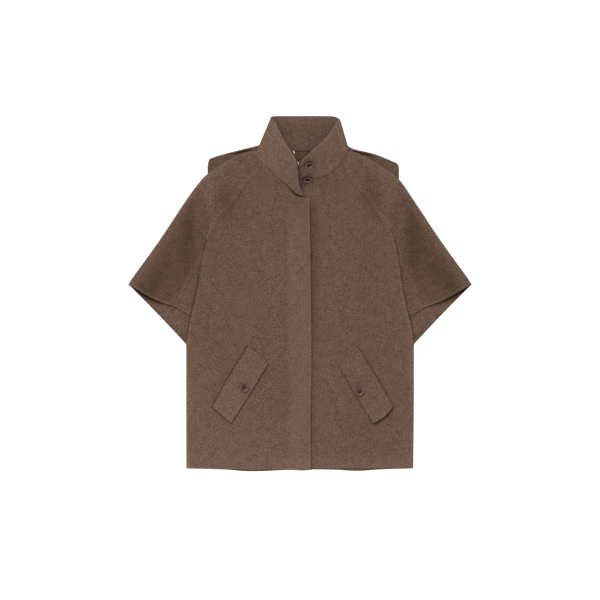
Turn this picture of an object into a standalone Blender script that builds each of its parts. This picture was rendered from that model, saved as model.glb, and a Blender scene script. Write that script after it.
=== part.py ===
"""Wide-sleeved wool poncho with a stand collar, laid on its back with the right front lapped over the left.

The tables are in millimetres and the scene is in metres. +X is the wearer's left, +Y runs from the hem to the
collar and +Z points up, off the surface the garment lies on. The origin is the middle of the underside.
"""

import math
from collections import namedtuple

import bmesh
import bpy
from mathutils import Matrix, Vector

MM = 0.001

# Cloth walls
CLOTH = 2.2           # one layer of brushed wool
COLLAR_WALL = 4.0     # two layers of it, pressed
POCKET_WALL = 3.2     # two layers, pared at the seams
SEAM_GAP = 0.35       # from a seam line to each of the two pieces that meet on it

# Air between layers that lie on each other
FRONT_LAY = 0.9       # fronts on the back
SLEEVE_LAY = 0.45     # sleeve halves and wings on the back
SLEEVE_FILL = 1.1     # more of it inside a sleeve, away from its seams
POCKET_LAY = 0.6      # pocket flaps on the fronts
CUFF_LIFT = 2.6       # front cuff off the back cuff, near its outer corner
CURL_SHARE = 0.2      # of a pocket flap's length

# How far each layer climbs over another, and the start and end of each smooth climb
FLAP_STEP = CLOTH + 0.6      # the back on the storm flap
SLEEVE_STEP = CLOTH + 0.5    # the body's edge on the sleeve
FLY_STEP = CLOTH + 0.7       # the right front on the left front
FLAP_CLIMB_RIGHT = (-297, -229)      # across, outside the storm flap
FLAP_CLIMB_LEFT = (243, 311)
FLAP_CLIMB_FOOT = (30, 104)          # up the back, below the storm flap
SLEEVE_CLIMB_LOW = (-112, -62)       # up the body, below the sleeve
SLEEVE_CLIMB_HIGH = (134, 176)       # up the body, above the underarm
SLEEVE_CLIMB_IN = (48, 92)           # in from the body's edge
FLY_CLIMB = (-59, -27)               # across, beside the left front's edge
FLY_CALM = (23, 63)                  # across, where the left front's folds begin
EDGE_CALM = (4, 40)                  # in from the body's edge, where the folds begin
SLEEVE_RELIEF_IN = (0.02, 0.25)      # share of the way from the raglan seam
SLEEVE_RELIEF_OUT = (0.0, 0.10)      # share of the way from the overarm fold
CUFF_RAISE_DOWN = (0.86, 1.0)        # share of the way down the sleeve
CUFF_RAISE_IN = (0.15, 0.6)          # share of the way from the raglan seam
CUFF_RAISE_OUT = (0.86, 0.99)
FOLD_END = 0.12                      # where on its own half wave a fold starts and ends

# Buttons and press studs
BUTTON_RADIUS = 11.0
BUTTON_HEIGHT = 4.0
BUTTON_STANDOFF = 0.5
BUTTON_SHANK = 3.0    # thread between the collar and its buttons
STUD_RADIUS = 4.0
STUD_HEIGHT = 1.6
STUD_STANDOFF = 1.0
MERGE = 0.01

# Grid sizes, in cells, and how much closer the outer cells of a panel are
FRONT_CELLS = (12, 30)
BACK_CELLS = (16, 22)
SLEEVE_CELLS = (9, 16)
WING_CELLS = (4, 8)
STORM_CELLS = (22, 6)
POCKET_CELLS = (4, 14)
COLLAR_ROWS = 4
COLLAR_SPAN = 3       # cells from one section to the next
BUTTON_SIDES = 24
STUD_SIDES = 12
EDGE_SHARE = 0.45

# Body edge, hem to underarm: the height up the body and the edge's place on each side
Body = namedtuple("Body", "y right left")
BODY_EDGE = [
    Body(-402, -261.6, 260.5),
    Body(-260, -261.9, 261.9),
    Body(-132, -261.9, 262.1),
    Body(-115.5, -262.9, 262.9),
    Body(-82, -258.5, 258.8),
    Body(-47, -250.7, 250.3),
    Body(-14, -242.3, 242.1),
    Body(40, -231.7, 233.1),
    Body(85, -225, 226.3),
    Body(128, -215.7, 217.5),
]
UNDERARM = 4          # rows of it up to the corner where body and back sleeve part

# Points that come in pairs, one on the wearer's right and one on the left
Pair = namedtuple("Pair", "right_x right_y left_x left_y")
RAGLAN = [  # neck to underarm
    Pair(-88.6, 301.5, 100.3, 306.5),
    Pair(-134.2, 249, 122.8, 263.5),
    Pair(-162.7, 208, 151.3, 230.7),
    Pair(-184.2, 185, 176.3, 194.5),
    Pair(-207.2, 152, 196.3, 165),
    Pair(-215.7, 128, 217.5, 128),
]
RAGLAN_LOWER = [  # underarm to front cuff, first under the body's edge
    Pair(-215.7, 128, 217.5, 128),
    Pair(-222.2, 84, 223.3, 84),
    Pair(-246.1, 42, 244.3, 39),
    Pair(-283.4, -31, 285.5, -31),
]
RAGLAN_BACK = [  # neck to back cuff
    Pair(-78.7, 326.6, 89.3, 326.6),
    Pair(-127.7, 262, 129.3, 262),
    Pair(-168.7, 204, 170.3, 204),
    Pair(-199.7, 160, 201.3, 160),
    Pair(-217.7, 112, 219.3, 112),
    Pair(-232.7, 40, 234.3, 40),
    Pair(-252.7, -60, 253.3, -60),
    Pair(-262.9, -115.5, 262.9, -115.5),
]
OVERARM = [  # neck to the cuff's outer corner
    Pair(-98.9, 329.3, 111.1, 327.3),
    Pair(-126.7, 324.5, 134.3, 322.7),
    Pair(-165.7, 307, 161, 309),
    Pair(-207, 279.5, 199.3, 286),
    Pair(-228.1, 260.1, 230.1, 260.1),
    Pair(-262.6, 214.1, 262.2, 214.1),
    Pair(-323.7, 122.1, 323.7, 122.1),
    Pair(-381.7, 41.6, 381.7, 41.6),
    Pair(-395.4, 20.9, 395.4, 20.9),
]
FRONT_CUFF = [  # raglan seam to outer corner
    Pair(-283.4, -31, 285.5, -31),
    Pair(-343.7, -10.1, 333.5, -14.5),
    Pair(-395.4, 20.9, 395.4, 20.9),
]
BACK_CUFF = [  # underarm corner to outer corner
    Pair(-262.9, -115.5, 262.9, -115.5),
    Pair(-324.1, -50.4, 324.1, -50.4),
    Pair(-385.3, 11.7, 385.4, 11.7),
    Pair(-395.4, 20.9, 395.4, 20.9),
]
WING_CUFF = [  # from under the body to the raglan seam
    Pair(-210.7, -60, 213.3, -60),
    Pair(-250.2, -48, 253.3, -49.5),
    Pair(-283.4, -31, 285.5, -31),
]
WING_INNER = [  # hidden edge under the body, cuff to underarm
    Pair(-210.7, -60, 213.3, -60),
    Pair(-202.7, 20, 205.3, 20),
    Pair(-207.7, 118, 209.3, 118),
]

# Plan outlines, x and y
NECKLINE_RIGHT = [(-88.6, 301.5), (-49.9, 267), (-31.1, 248.6), (-15, 231.4), (-4.6, 224.5), (9.2, 222.9),
                  (23.9, 221)]
NECKLINE_LEFT = [(100.3, 306.5), (65.1, 275), (32.6, 263.6), (2.3, 252), (-15.7, 244)]
FRONT_EDGE_RIGHT = [(26.3, -405.2), (25.3, -250), (23.9, 60), (23.9, 221)]
FRONT_EDGE_LEFT = [(-13.7, -403), (-15.7, 60), (-15.7, 244)]
FRONT_HEM_RIGHT = [(-261.6, -402), (-188.7, -403.6), (-25.3, -405.4), (1.3, -406.6), (26.3, -405.2)]
FRONT_HEM_LEFT = [(260.5, -402), (172.3, -402), (80.3, -402), (-13.7, -403)]
BACK_HEM = [(-261.6, -402), (-188.7, -404), (-159.7, -405.7), (-124.7, -408.6), (-86.7, -408.4),
            (-25.7, -405.6), (24.3, -404.6), (80.3, -405.2), (115.3, -407.5), (143.3, -407.6),
            (185.3, -404.6), (260.5, -402)]
BACK_NECK = [(-78.7, 326.6), (3.3, 326.6), (89.3, 326.6)]
STORM_TOP_RIGHT = [(-212.9, 293), (-210.3, 306.1), (-205.9, 310.9), (-182.9, 319.1), (-136.9, 330.7),
                   (-102.2, 339.4)]
STORM_TOP_LEFT = [(113.8, 337.8), (127.6, 331.7), (162.1, 323.7), (185.1, 316.4), (217.3, 302.7),
                  (224.8, 298.6), (227.9, 290)]
STORM_NECK = [(-102.2, 339.4), (-96.7, 322), (108.3, 322), (113.8, 337.8)]
STORM_FOOT = [(-202.7, 125), (8.3, 120), (217.3, 125)]
STORM_SIDE_RIGHT = [(-202.7, 125), (-211.2, 220), (-212.9, 293)]
STORM_SIDE_LEFT = [(217.3, 125), (226.5, 220), (227.9, 290)]

# Collar sections from the right end round the back to the left end: the seam point and the top point
Rib = namedtuple("Rib", "seam_x seam_y seam_z top_x top_y top_z")
COLLAR = [
    Rib(-3.6, 226.2, 13.6, -4, 277, 50),
    Rib(-6, 226.8, 13.6, -6.6, 288, 57.5),
    Rib(-9.3, 228.6, 13.4, -9.8, 299, 61),
    Rib(-16.1, 234.8, 12.8, -12, 309, 60),
    Rib(-31.1, 249.9, 11.4, -18, 321, 55),
    Rib(-49.9, 268.6, 10.9, -28.7, 337.6, 47),
    Rib(-67.7, 285.8, 10.7, -37.5, 352.6, 42),
    Rib(-83.3, 301.4, 10.5, -45.9, 370.2, 35),
    Rib(-92.5, 318.6, 10, -54.3, 389, 23),
    Rib(-96.5, 331, 7.2, -64.6, 404.5, 11),
    Rib(-88, 331, 2.4, -58.2, 408.3, 2.4),
    Rib(-56.7, 328, 2, -32.7, 408.6, 2),
    Rib(6.3, 328, 2, 8.3, 408.7, 2),
    Rib(69.3, 328, 2, 53.3, 408.6, 2),
    Rib(101.3, 329, 2.4, 79.3, 407.4, 2.4),
    Rib(110.3, 331, 7.2, 90.3, 400, 11),
    Rib(105.5, 320.4, 10.2, 83.9, 392.8, 24),
    Rib(96.9, 304.8, 10.6, 74.7, 377.4, 36),
    Rib(83.9, 289.4, 10.4, 63.5, 360.2, 44),
    Rib(65.1, 275.8, 10.2, 49.2, 345, 52),
    Rib(43.7, 268, 10.2, 31.2, 329, 60),
    Rib(23, 260.8, 10.2, 15, 314, 60),
    Rib(2.3, 252.8, 10.2, -0.8, 300.6, 50),
    Rib(-10.3, 246, 10.2, -9.5, 292, 42),
]

# Pocket flaps: the corners, from the sewn upper end round the outer edge, the button's middle, and how far the
# free lower end curls up
Pocket = namedtuple("Pocket", "side upper_inner upper_outer lower_outer lower_inner button curl")
POCKETS = [
    Pocket("right", (-70.7, -162), (-121, -118.7), (-204, -260.4), (-158.7, -299.7), (-128.8, -216.2), 1.2),
    Pocket("left", (88.3, -164.5), (134.1, -120.6), (216.6, -259.7), (169.3, -300.9), (137, -224.6), 3.6),
]

# Places on the collar: how far from the right end to the left end, how far from the seam to the top,
# and how many degrees the piece hangs round from square
CollarSpot = namedtuple("CollarSpot", "name along up turn")
COLLAR_BUTTONS = [CollarSpot("upper", 20.9, 0.67, -4), CollarSpot("lower", 21.25, 0.13, -16)]
COLLAR_STUDS = [CollarSpot("upper", 4.0, 0.985, 0), CollarSpot("lower", 1.85, 0.985, 0)]

# Soft folds of the laid cloth: a line, the fold's half width and its height (a trough is below nought)
Fold = namedtuple("Fold", "x0 y0 x1 y1 width height")
FRONT_FOLDS = [
    Fold(-124.7, 225, -136.7, 120, 16, -0.6),
    Fold(-56.7, 230, -146.7, 20, 34, 1.6),
    Fold(-206.7, -20, -186.7, -330, 30, 1.5),
    Fold(-96.7, -40, -76.7, -380, 38, 1.2),
    Fold(121.3, 215, 141.3, 110, 16, -0.6),
    Fold(63.3, 225, 153.3, 20, 34, 1.6),
    Fold(208.3, -20, 193.3, -330, 30, 1.5),
    Fold(98.3, -30, 83.3, -380, 38, 1.2),
]
SLEEVE_FOLDS = [
    Fold(-232.7, 215, -248.7, 110, 13, 2.2),
    Fold(-296.7, 110, -348.7, 22, 22, 1.6),
    Fold(-281.7, 150, -316.7, 10, 20, -0.8),
    Fold(215.3, 235, 243.3, 110, 13, 2.2),
    Fold(303.3, 110, 355.3, 25, 22, 1.6),
    Fold(281.3, 160, 321.3, 10, 20, -0.8),
]

# Colour as red, green and blue, then roughness and metallic
Finish = namedtuple("Finish", "red green blue roughness metallic")
WOOL = Finish(0.150, 0.092, 0.064, 0.95, 0.0)
WOOL_INSIDE = Finish(0.120, 0.076, 0.056, 0.95, 0.0)
HORN = Finish(0.035, 0.014, 0.012, 0.30, 0.0)
STEEL = Finish(0.62, 0.60, 0.58, 0.25, 1.0)


def clear_scene():
    for thing in list(bpy.data.objects):
        bpy.data.objects.remove(thing, do_unlink=True)


def ramp(value, climb):
    """Smooth step from 0 at the climb's start to 1 at its end."""
    start, end = climb
    t = min(1.0, max(0.0, (value - start) / (end - start)))
    return t * t * (3.0 - 2.0 * t)


def side_points(pairs, side):
    """The points of a paired table that belong to one side."""
    if side == "right":
        return [(row.right_x, row.right_y) for row in pairs]
    return [(row.left_x, row.left_y) for row in pairs]


def body_edge(side):
    return [(row.right if side == "right" else row.left, row.y) for row in BODY_EDGE]


class Curve:
    """A curve through points, smooth within each run and free to turn between runs, read by length."""

    STEPS = 12

    def __init__(self, *runs):
        self.points = []
        ends = []
        for run in runs:
            self.points += self.smooth([Vector(point) for point in run])
            ends.append(len(self.points) - 1)
        self.lengths = [0.0]
        for near, far in zip(self.points, self.points[1:]):
            self.lengths.append(self.lengths[-1] + (far - near).length)
        self.turns = [self.lengths[end] / self.lengths[-1] for end in ends[:-1]]

    def smooth(self, knots):
        ends = [2 * knots[0] - knots[1]] + knots + [2 * knots[-1] - knots[-2]]
        points = []
        for a, b, c, d in zip(ends, ends[1:], ends[2:], ends[3:]):
            points += [spline(a, b, c, d, step / self.STEPS) for step in range(self.STEPS)]
        return points + [knots[-1]]

    def at(self, fraction):
        target = fraction * self.lengths[-1]
        for index in range(1, len(self.points)):
            if self.lengths[index] >= target:
                span = self.lengths[index] - self.lengths[index - 1]
                share = (target - self.lengths[index - 1]) / span if span else 0.0
                return self.points[index - 1].lerp(self.points[index], share)
        return self.points[-1].copy()


def spline(a, b, c, d, t):
    """The point at t between b and c on a smooth curve through a, b, c and d."""
    bend = (2 * a - 5 * b + 4 * c - d) * t ** 2 + (3 * b - a - 3 * c + d) * t ** 3
    return 0.5 * (2 * b + (c - a) * t + bend)


def shifted(points, distance):
    """A plan line moved to its left by a distance, to leave a gap beside a seam."""
    moved = []
    last = len(points) - 1
    for index, point in enumerate(points):
        ahead = Vector(points[min(index + 1, last)]) - Vector(points[max(index - 1, 0)])
        normal = Vector((-ahead.y, ahead.x)).normalized()
        moved.append(Vector(point) + normal * distance)
    return moved


def spread(cells, edge_share):
    """Fractions from 0 to 1, closer together near both ends."""
    return [t + edge_share * (-math.sin(2 * math.pi * t)) / (2 * math.pi) for t in
            (index / cells for index in range(cells + 1))]


def snapped(fractions, turns):
    """The fractions, with the one nearest to each turn of an edge moved onto it."""
    for turn in turns:
        nearest = min(range(1, len(fractions) - 1), key=lambda index: abs(fractions[index] - turn))
        fractions[nearest] = turn
    return fractions


def patch(foot, head, first, last, cells):
    """Rows of plan points inside four edges: foot and head run from first to last, and the others upward."""
    across = snapped(spread(cells[0], EDGE_SHARE), head.turns)
    up = snapped(spread(cells[1], 0.0), first.turns)
    rows = []
    for v in up:
        row = []
        for u in across:
            ruled = foot.at(u).lerp(head.at(u), v) + first.at(v).lerp(last.at(v), u)
            corners = foot.at(0).lerp(foot.at(1), u).lerp(head.at(0).lerp(head.at(1), u), v)
            row.append(ruled - corners)
        rows.append(row)
    return rows


def fold_height(folds, x, y):
    """Sum of the soft folds at a plan point."""
    total = 0.0
    place = Vector((x, y))
    for fold in folds:
        start = Vector((fold.x0, fold.y0))
        run = Vector((fold.x1, fold.y1)) - start
        share = min(1.0, max(0.0, (place - start).dot(run) / run.length_squared))
        distance = (place - start - run * share).length
        fade = math.sin(math.pi * (FOLD_END + (1 - 2 * FOLD_END) * share))
        total += fold.height * math.exp(-((distance / fold.width) ** 2)) * fade
    return total


def back_under(x, y):
    """Underside of the back layer: flat, and up on the storm flap."""
    inside = ramp(x, FLAP_CLIMB_RIGHT) * (1 - ramp(x, FLAP_CLIMB_LEFT))
    return FLAP_STEP * inside * ramp(y, FLAP_CLIMB_FOOT)


def back_top(x, y):
    return back_under(x, y) + CLOTH


def edge_at(side, y):
    """How far out the body's edge is at a height."""
    points = body_edge(side)
    for (x0, y0), (x1, y1) in zip(points, points[1:]):
        if y <= y1:
            return x0 + (x1 - x0) * max(0.0, (y - y0) / (y1 - y0))
    return points[-1][0]


def front_under(side, x, y):
    """Underside of a front: on the back, up on the sleeve at the body's edge, and up on the other front."""
    from_edge = abs(edge_at(side, y) - x)
    on_sleeve = ramp(y, SLEEVE_CLIMB_LOW) * (1 - ramp(y, SLEEVE_CLIMB_HIGH))
    on_sleeve *= 1 - ramp(from_edge, SLEEVE_CLIMB_IN)
    height = back_top(x, y) + FRONT_LAY + SLEEVE_STEP * on_sleeve
    relief = fold_height(FRONT_FOLDS, x, y) * ramp(from_edge, EDGE_CALM)
    if side == "right":
        height += FLY_STEP * ramp(x, FLY_CLIMB)
        relief *= 1 - ramp(x, FLY_CLIMB)
    else:
        relief *= ramp(x, FLY_CALM)
    return height + relief * (1 - on_sleeve)


def front_top(side, x, y):
    return front_under(side, x, y) + CLOTH


def sleeve_under(x, y, across, down):
    """Underside of a sleeve's front half; across runs from raglan to overarm, down from neck to cuff."""
    relief = SLEEVE_FILL + fold_height(SLEEVE_FOLDS, x, y)
    relief *= ramp(across, SLEEVE_RELIEF_IN) * ramp(1 - across, SLEEVE_RELIEF_OUT)
    cuff = CUFF_LIFT * ramp(down, CUFF_RAISE_DOWN)
    cuff *= ramp(across, CUFF_RAISE_IN) * (1 - ramp(across, CUFF_RAISE_OUT))
    return back_top(x, y) + SLEEVE_LAY + max(0.0, relief) + cuff


def make_material(name, finish):
    material = bpy.data.materials.new(name)
    material.use_nodes = True
    shader = material.node_tree.nodes["Principled BSDF"]
    shader.inputs["Base Color"].default_value = (finish.red, finish.green, finish.blue, 1.0)
    shader.inputs["Roughness"].default_value = finish.roughness
    shader.inputs["Metallic"].default_value = finish.metallic
    material.diffuse_color = (finish.red, finish.green, finish.blue, 1.0)
    return material


def add_object(name, mesh, finish):
    thing = bpy.data.objects.new(name, mesh)
    mesh.materials.append(make_material(name, finish))
    bpy.context.scene.collection.objects.link(thing)
    return thing


def sheet_mesh(name, rows):
    """A mesh of four-sided faces on rows of points, facing up where the rows run left to right."""
    mesh = bpy.data.meshes.new(name)
    body = bmesh.new()
    grid = [[body.verts.new(point * MM) for point in row] for row in rows]
    for low, high in zip(grid, grid[1:]):
        for index in range(len(low) - 1):
            body.faces.new((low[index], low[index + 1], high[index + 1], high[index]))
    body.to_mesh(mesh)
    body.free()
    mesh.shade_smooth()
    return mesh


def add_wall(name, rows, thickness, finish, offset=1.0):
    """A cloth wall on a sheet of points: offset 1 thickens it upward from its underside, 0 both ways."""
    thing = add_object(name, sheet_mesh(name, rows), finish)
    wall = thing.modifiers.new("Cloth", "SOLIDIFY")
    wall.thickness = thickness * MM
    wall.offset = offset
    wall.use_even_offset = False
    return thing


def facing_up(rows):
    """The rows in the order that makes their faces look up."""
    a, b, c = rows[0][0], rows[0][-1], rows[-1][0]
    if (b - a).cross(c - a).z < 0:
        return [row[::-1] for row in rows]
    return rows


def raised(rows, height):
    """Plan rows lifted by a height function, ready for a wall."""
    return facing_up([[Vector((p.x, p.y, height(p.x, p.y))) for p in row] for row in rows])


def build_back():
    right = Curve(body_edge("right")[:UNDERARM], side_points(RAGLAN_BACK, "right")[::-1])
    left = Curve(body_edge("left")[:UNDERARM], side_points(RAGLAN_BACK, "left")[::-1])
    rows = patch(Curve(BACK_HEM), Curve(BACK_NECK), right, left, BACK_CELLS)
    add_wall("back_panel", raised(rows, back_under), CLOTH, WOOL_INSIDE)


def build_storm_flap():
    foot = Curve(STORM_FOOT)
    head = Curve(STORM_TOP_RIGHT, STORM_NECK[:2], STORM_NECK[1:3], STORM_NECK[2:], STORM_TOP_LEFT)
    rows = patch(foot, head, Curve(STORM_SIDE_RIGHT), Curve(STORM_SIDE_LEFT), STORM_CELLS)
    add_wall("storm_flap", raised(rows, lambda x, y: 0.0), CLOTH, WOOL)


def build_front(side):
    if side == "right":
        hem, neck, edge = FRONT_HEM_RIGHT, NECKLINE_RIGHT, FRONT_EDGE_RIGHT
        inward = -SEAM_GAP
    else:
        hem, neck, edge = FRONT_HEM_LEFT, NECKLINE_LEFT, FRONT_EDGE_LEFT
        inward = SEAM_GAP
    seam = shifted(side_points(RAGLAN, side)[::-1], inward)
    outer = Curve(body_edge(side)[:UNDERARM], body_edge(side)[UNDERARM - 1:-1] + [seam[0]], seam)
    head = Curve([seam[-1]] + neck[1:])
    rows = patch(Curve(hem), head, outer, Curve(edge), FRONT_CELLS)
    add_wall("front_" + side, raised(rows, lambda x, y: front_under(side, x, y)), CLOTH, WOOL)


def build_sleeve(side):
    outward = SEAM_GAP if side == "right" else -SEAM_GAP
    neck_end = [side_points(RAGLAN, side)[0], side_points(OVERARM, side)[0]]
    overarm = Curve(side_points(OVERARM, side))

    front_seam = shifted(side_points(RAGLAN + RAGLAN_LOWER[1:], side), -outward)
    cuff = Curve([front_seam[-1]] + side_points(FRONT_CUFF, side)[1:])
    rows = patch(Curve([front_seam[0], neck_end[1]]), cuff, Curve(front_seam), overarm, SLEEVE_CELLS)
    across = spread(SLEEVE_CELLS[0], EDGE_SHARE)
    lifted = []
    for index, row in enumerate(rows):
        down = index / SLEEVE_CELLS[1]
        lifted.append([Vector((p.x, p.y, sleeve_under(p.x, p.y, u, down))) for p, u in zip(row, across)])
    add_wall("sleeve_front_" + side, facing_up(lifted), CLOTH, WOOL)

    back_seam = shifted(side_points(RAGLAN_BACK, side), -2 * outward)
    cuff = Curve([back_seam[-1]] + side_points(BACK_CUFF, side)[1:])
    rows = patch(Curve([back_seam[0], neck_end[1]]), cuff, Curve(back_seam), overarm, SLEEVE_CELLS)
    add_wall("sleeve_back_" + side, raised(rows, back_under), CLOTH, WOOL_INSIDE)


def build_wing(side):
    outward = SEAM_GAP if side == "right" else -SEAM_GAP
    seam = shifted(side_points(RAGLAN_LOWER, side), 2 * outward)[::-1]
    inner = side_points(WING_INNER, side)
    cuff = side_points(WING_CUFF, side)[:-1] + [seam[0]]
    head = Curve([inner[-1], seam[-1]])
    rows = patch(Curve(cuff), head, Curve(inner), Curve(seam), WING_CELLS)
    add_wall("front_wing_" + side, raised(rows, lambda x, y: back_top(x, y) + SLEEVE_LAY), CLOTH, WOOL)


def collar_lines():
    """The seam line and the top line of the collar, as knots that match one to one."""
    seam = [Vector((rib.seam_x, rib.seam_y, rib.seam_z)) for rib in COLLAR]
    top = [Vector((rib.top_x, rib.top_y, rib.top_z)) for rib in COLLAR]
    return seam, top


def line_at(knots, place):
    """A point on the smooth curve through knots, where whole numbers are the knots themselves."""
    index = min(int(place), len(knots) - 2)
    before = knots[index - 1] if index else 2 * knots[0] - knots[1]
    after = knots[index + 2] if index + 2 < len(knots) else 2 * knots[-1] - knots[-2]
    return spline(before, knots[index], knots[index + 1], after, place - index)


def collar_point(along, up):
    seam, top = collar_lines()
    point = line_at(seam, along).lerp(line_at(top, along), up)
    point.z = max(point.z, COLLAR_WALL / 2)
    return point


def collar_frame(along, up):
    """A point on the middle of the collar wall, and the direction straight out of it."""
    step = 0.05
    point = collar_point(along, up)
    ahead = (collar_point(along + step, up) - collar_point(along - step, up)).normalized()
    rise = (collar_point(along, 1.0) - collar_point(along, 0.0)).normalized()
    return point, rise.cross(ahead).normalized()


def build_collar():
    spans = (len(COLLAR) - 1) * COLLAR_SPAN
    rows = []
    for level in range(COLLAR_ROWS + 1):
        up = level / COLLAR_ROWS
        rows.append([collar_point(index / COLLAR_SPAN, up) for index in range(spans + 1)])
    add_wall("stand_collar", rows, COLLAR_WALL, WOOL, offset=0.0)


def build_pocket(pocket):
    """A flap laid on its front: a four-cornered patch of the front's own surface, moved out."""
    corners = [Vector(corner) for corner in pocket[1:5]]
    rows = []
    for j in range(POCKET_CELLS[1] + 1):
        v = j / POCKET_CELLS[1]
        inner, outer = corners[3].lerp(corners[0], v), corners[2].lerp(corners[1], v)
        rows.append([inner.lerp(outer, i / POCKET_CELLS[0]) for i in range(POCKET_CELLS[0] + 1)])
    name = "pocket_flap_" + pocket.side
    foot, run = corners[3], corners[0] - corners[3]

    def under(x, y):
        share = (Vector((x, y)) - foot).dot(run) / run.length_squared
        curl = pocket.curl * (1 - min(1.0, max(0.0, share) / CURL_SHARE)) ** 2
        return front_top(pocket.side, x, y) + POCKET_LAY + curl

    add_wall(name, raised(rows, under), POCKET_WALL, WOOL)
    x, y = pocket.button
    base = Vector((x, y, front_top(pocket.side, x, y) + POCKET_LAY + POCKET_WALL + BUTTON_STANDOFF))
    add_button("pocket_button_" + pocket.side, base, Vector((0, 0, 1)))


def turned_mesh(name, profile, sides):
    """A closed turned solid: profile points are radius and height, from the underside's middle to the top."""
    mesh = bpy.data.meshes.new(name)
    body = bmesh.new()
    verts = [body.verts.new((radius * MM, 0, height * MM)) for radius, height in profile]
    edges = [body.edges.new(pair) for pair in zip(verts, verts[1:])]
    bmesh.ops.spin(body, geom=verts + edges, cent=(0, 0, 0), axis=(0, 0, 1), angle=2 * math.pi, steps=sides,
                   use_duplicate=False)
    bmesh.ops.remove_doubles(body, verts=body.verts, dist=MERGE * MM)
    bmesh.ops.recalc_face_normals(body, faces=body.faces)
    body.to_mesh(mesh)
    body.free()
    mesh.shade_smooth()
    return mesh


def place_on(thing, base, normal):
    """Stand a turned solid on a point, along a direction."""
    thing.location = base * MM
    thing.rotation_mode = "QUATERNION"
    thing.rotation_quaternion = Vector((0, 0, 1)).rotation_difference(normal)


def turned(direction, degrees):
    """A direction turned about the vertical."""
    return Matrix.Rotation(math.radians(degrees), 3, "Z") @ direction


def add_button(name, base, normal):
    rim, well = BUTTON_RADIUS, 0.62 * BUTTON_RADIUS
    profile = [(0, 0), (0.80 * rim, 0), (0.97 * rim, 0.30 * BUTTON_HEIGHT), (rim, 0.55 * BUTTON_HEIGHT),
               (0.90 * rim, 0.95 * BUTTON_HEIGHT), (0.80 * rim, BUTTON_HEIGHT), (well, 0.72 * BUTTON_HEIGHT),
               (0.45 * well, 0.50 * BUTTON_HEIGHT), (0, 0.50 * BUTTON_HEIGHT)]
    place_on(add_object(name, turned_mesh(name, profile, BUTTON_SIDES), HORN), base, normal)


def build_collar_buttons():
    for spot in COLLAR_BUTTONS:
        point, outward = collar_frame(spot.along, spot.up)
        base = point + outward * (COLLAR_WALL / 2 + BUTTON_SHANK)
        add_button("collar_button_" + spot.name, base, turned(outward, spot.turn))


def build_collar_studs():
    rim, top = STUD_RADIUS, STUD_HEIGHT
    profile = [(0, 0), (rim, 0), (rim, 0.6 * top), (0.8 * rim, top), (0.45 * rim, top), (0.40 * rim, 0.5 * top),
               (0, 0.5 * top)]
    for spot in COLLAR_STUDS:
        name = "collar_stud_" + spot.name
        point, outward = collar_frame(spot.along, spot.up)
        base = point - outward * (COLLAR_WALL / 2 + STUD_STANDOFF)
        stud = add_object(name, turned_mesh(name, profile, STUD_SIDES), STEEL)
        place_on(stud, base, turned(-outward, spot.turn))


def main():
    clear_scene()
    build_back()
    build_storm_flap()
    for side in ("right", "left"):
        build_sleeve(side)
        build_wing(side)
        build_front(side)
    build_collar()
    for pocket in POCKETS:
        build_pocket(pocket)
    build_collar_buttons()
    build_collar_studs()


main()
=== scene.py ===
"""Looks of a brown wool poncho laid flat on its back: cloth, buttons, press studs, materials and studio.

Plan tables are in millimetres, and the scene is in metres. +X is the wearer's left, and +Y runs from the hem
to the collar.
"""

import math
from collections import namedtuple

import bpy
import numpy as np
from mathutils import Matrix, Vector


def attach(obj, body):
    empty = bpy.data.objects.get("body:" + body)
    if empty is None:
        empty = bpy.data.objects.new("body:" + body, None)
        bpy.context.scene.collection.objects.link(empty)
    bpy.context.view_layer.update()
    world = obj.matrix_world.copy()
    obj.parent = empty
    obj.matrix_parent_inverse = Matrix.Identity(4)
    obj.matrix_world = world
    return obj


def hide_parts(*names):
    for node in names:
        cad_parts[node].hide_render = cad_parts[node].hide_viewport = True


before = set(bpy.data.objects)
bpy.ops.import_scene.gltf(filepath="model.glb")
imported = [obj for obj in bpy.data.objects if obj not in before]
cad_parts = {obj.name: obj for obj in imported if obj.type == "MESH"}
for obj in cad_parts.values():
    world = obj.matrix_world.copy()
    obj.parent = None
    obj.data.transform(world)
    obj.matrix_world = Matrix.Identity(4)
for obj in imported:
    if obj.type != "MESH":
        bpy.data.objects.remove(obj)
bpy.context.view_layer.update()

MM = 0.001
SIDES = ("right", "left")

# ---- Sizes ----

CLOTH = 2.2  # one layer of brushed wool
COLLAR_WALL = 4.0  # two layers of it
POCKET_WALL = 3.2

# Air between layers, and how far each layer climbs over another
FRONT_LAY = 0.9
SLEEVE_LAY = 0.45
SLEEVE_FILL = 1.1
POCKET_LAY = 0.35
CUFF_LIFT = 5.0
FLAP_STEP = CLOTH + 0.6
SLEEVE_STEP = CLOTH + 0.5
FLY_STEP = CLOTH + 0.7
FLAP_CLIMB_RIGHT = (-297, -229)
FLAP_CLIMB_LEFT = (243, 311)
FLAP_CLIMB_FOOT = (30, 104)
SLEEVE_CLIMB_LOW = (-112, -62)
SLEEVE_CLIMB_HIGH = (134, 176)
SLEEVE_CLIMB_IN = (48, 92)
FLY_CLIMB = (-40, -27)
FLY_CALM = (23, 63)
EDGE_CALM = (4, 40)
SLEEVE_RELIEF_IN = (0.02, 0.25)
SLEEVE_RELIEF_OUT = (0.0, 0.10)
CUFF_RAISE_DOWN = (0.86, 1.0)
CUFF_RAISE_IN = (0.15, 0.6)
CUFF_RAISE_OUT = (0.86, 0.99)
CURL_SHARE = 0.2  # of a pocket flap's length
NECK_RISE = 1.6
NECK_RISE_BAND = (0, 9)  # in from the neckline
NECK_RISE_RIGHT = (36, 62)
NECK_RISE_LEFT = (4, 26)
FOLD_END = 0.12  # where on its own half wave a fold starts and ends

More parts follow.
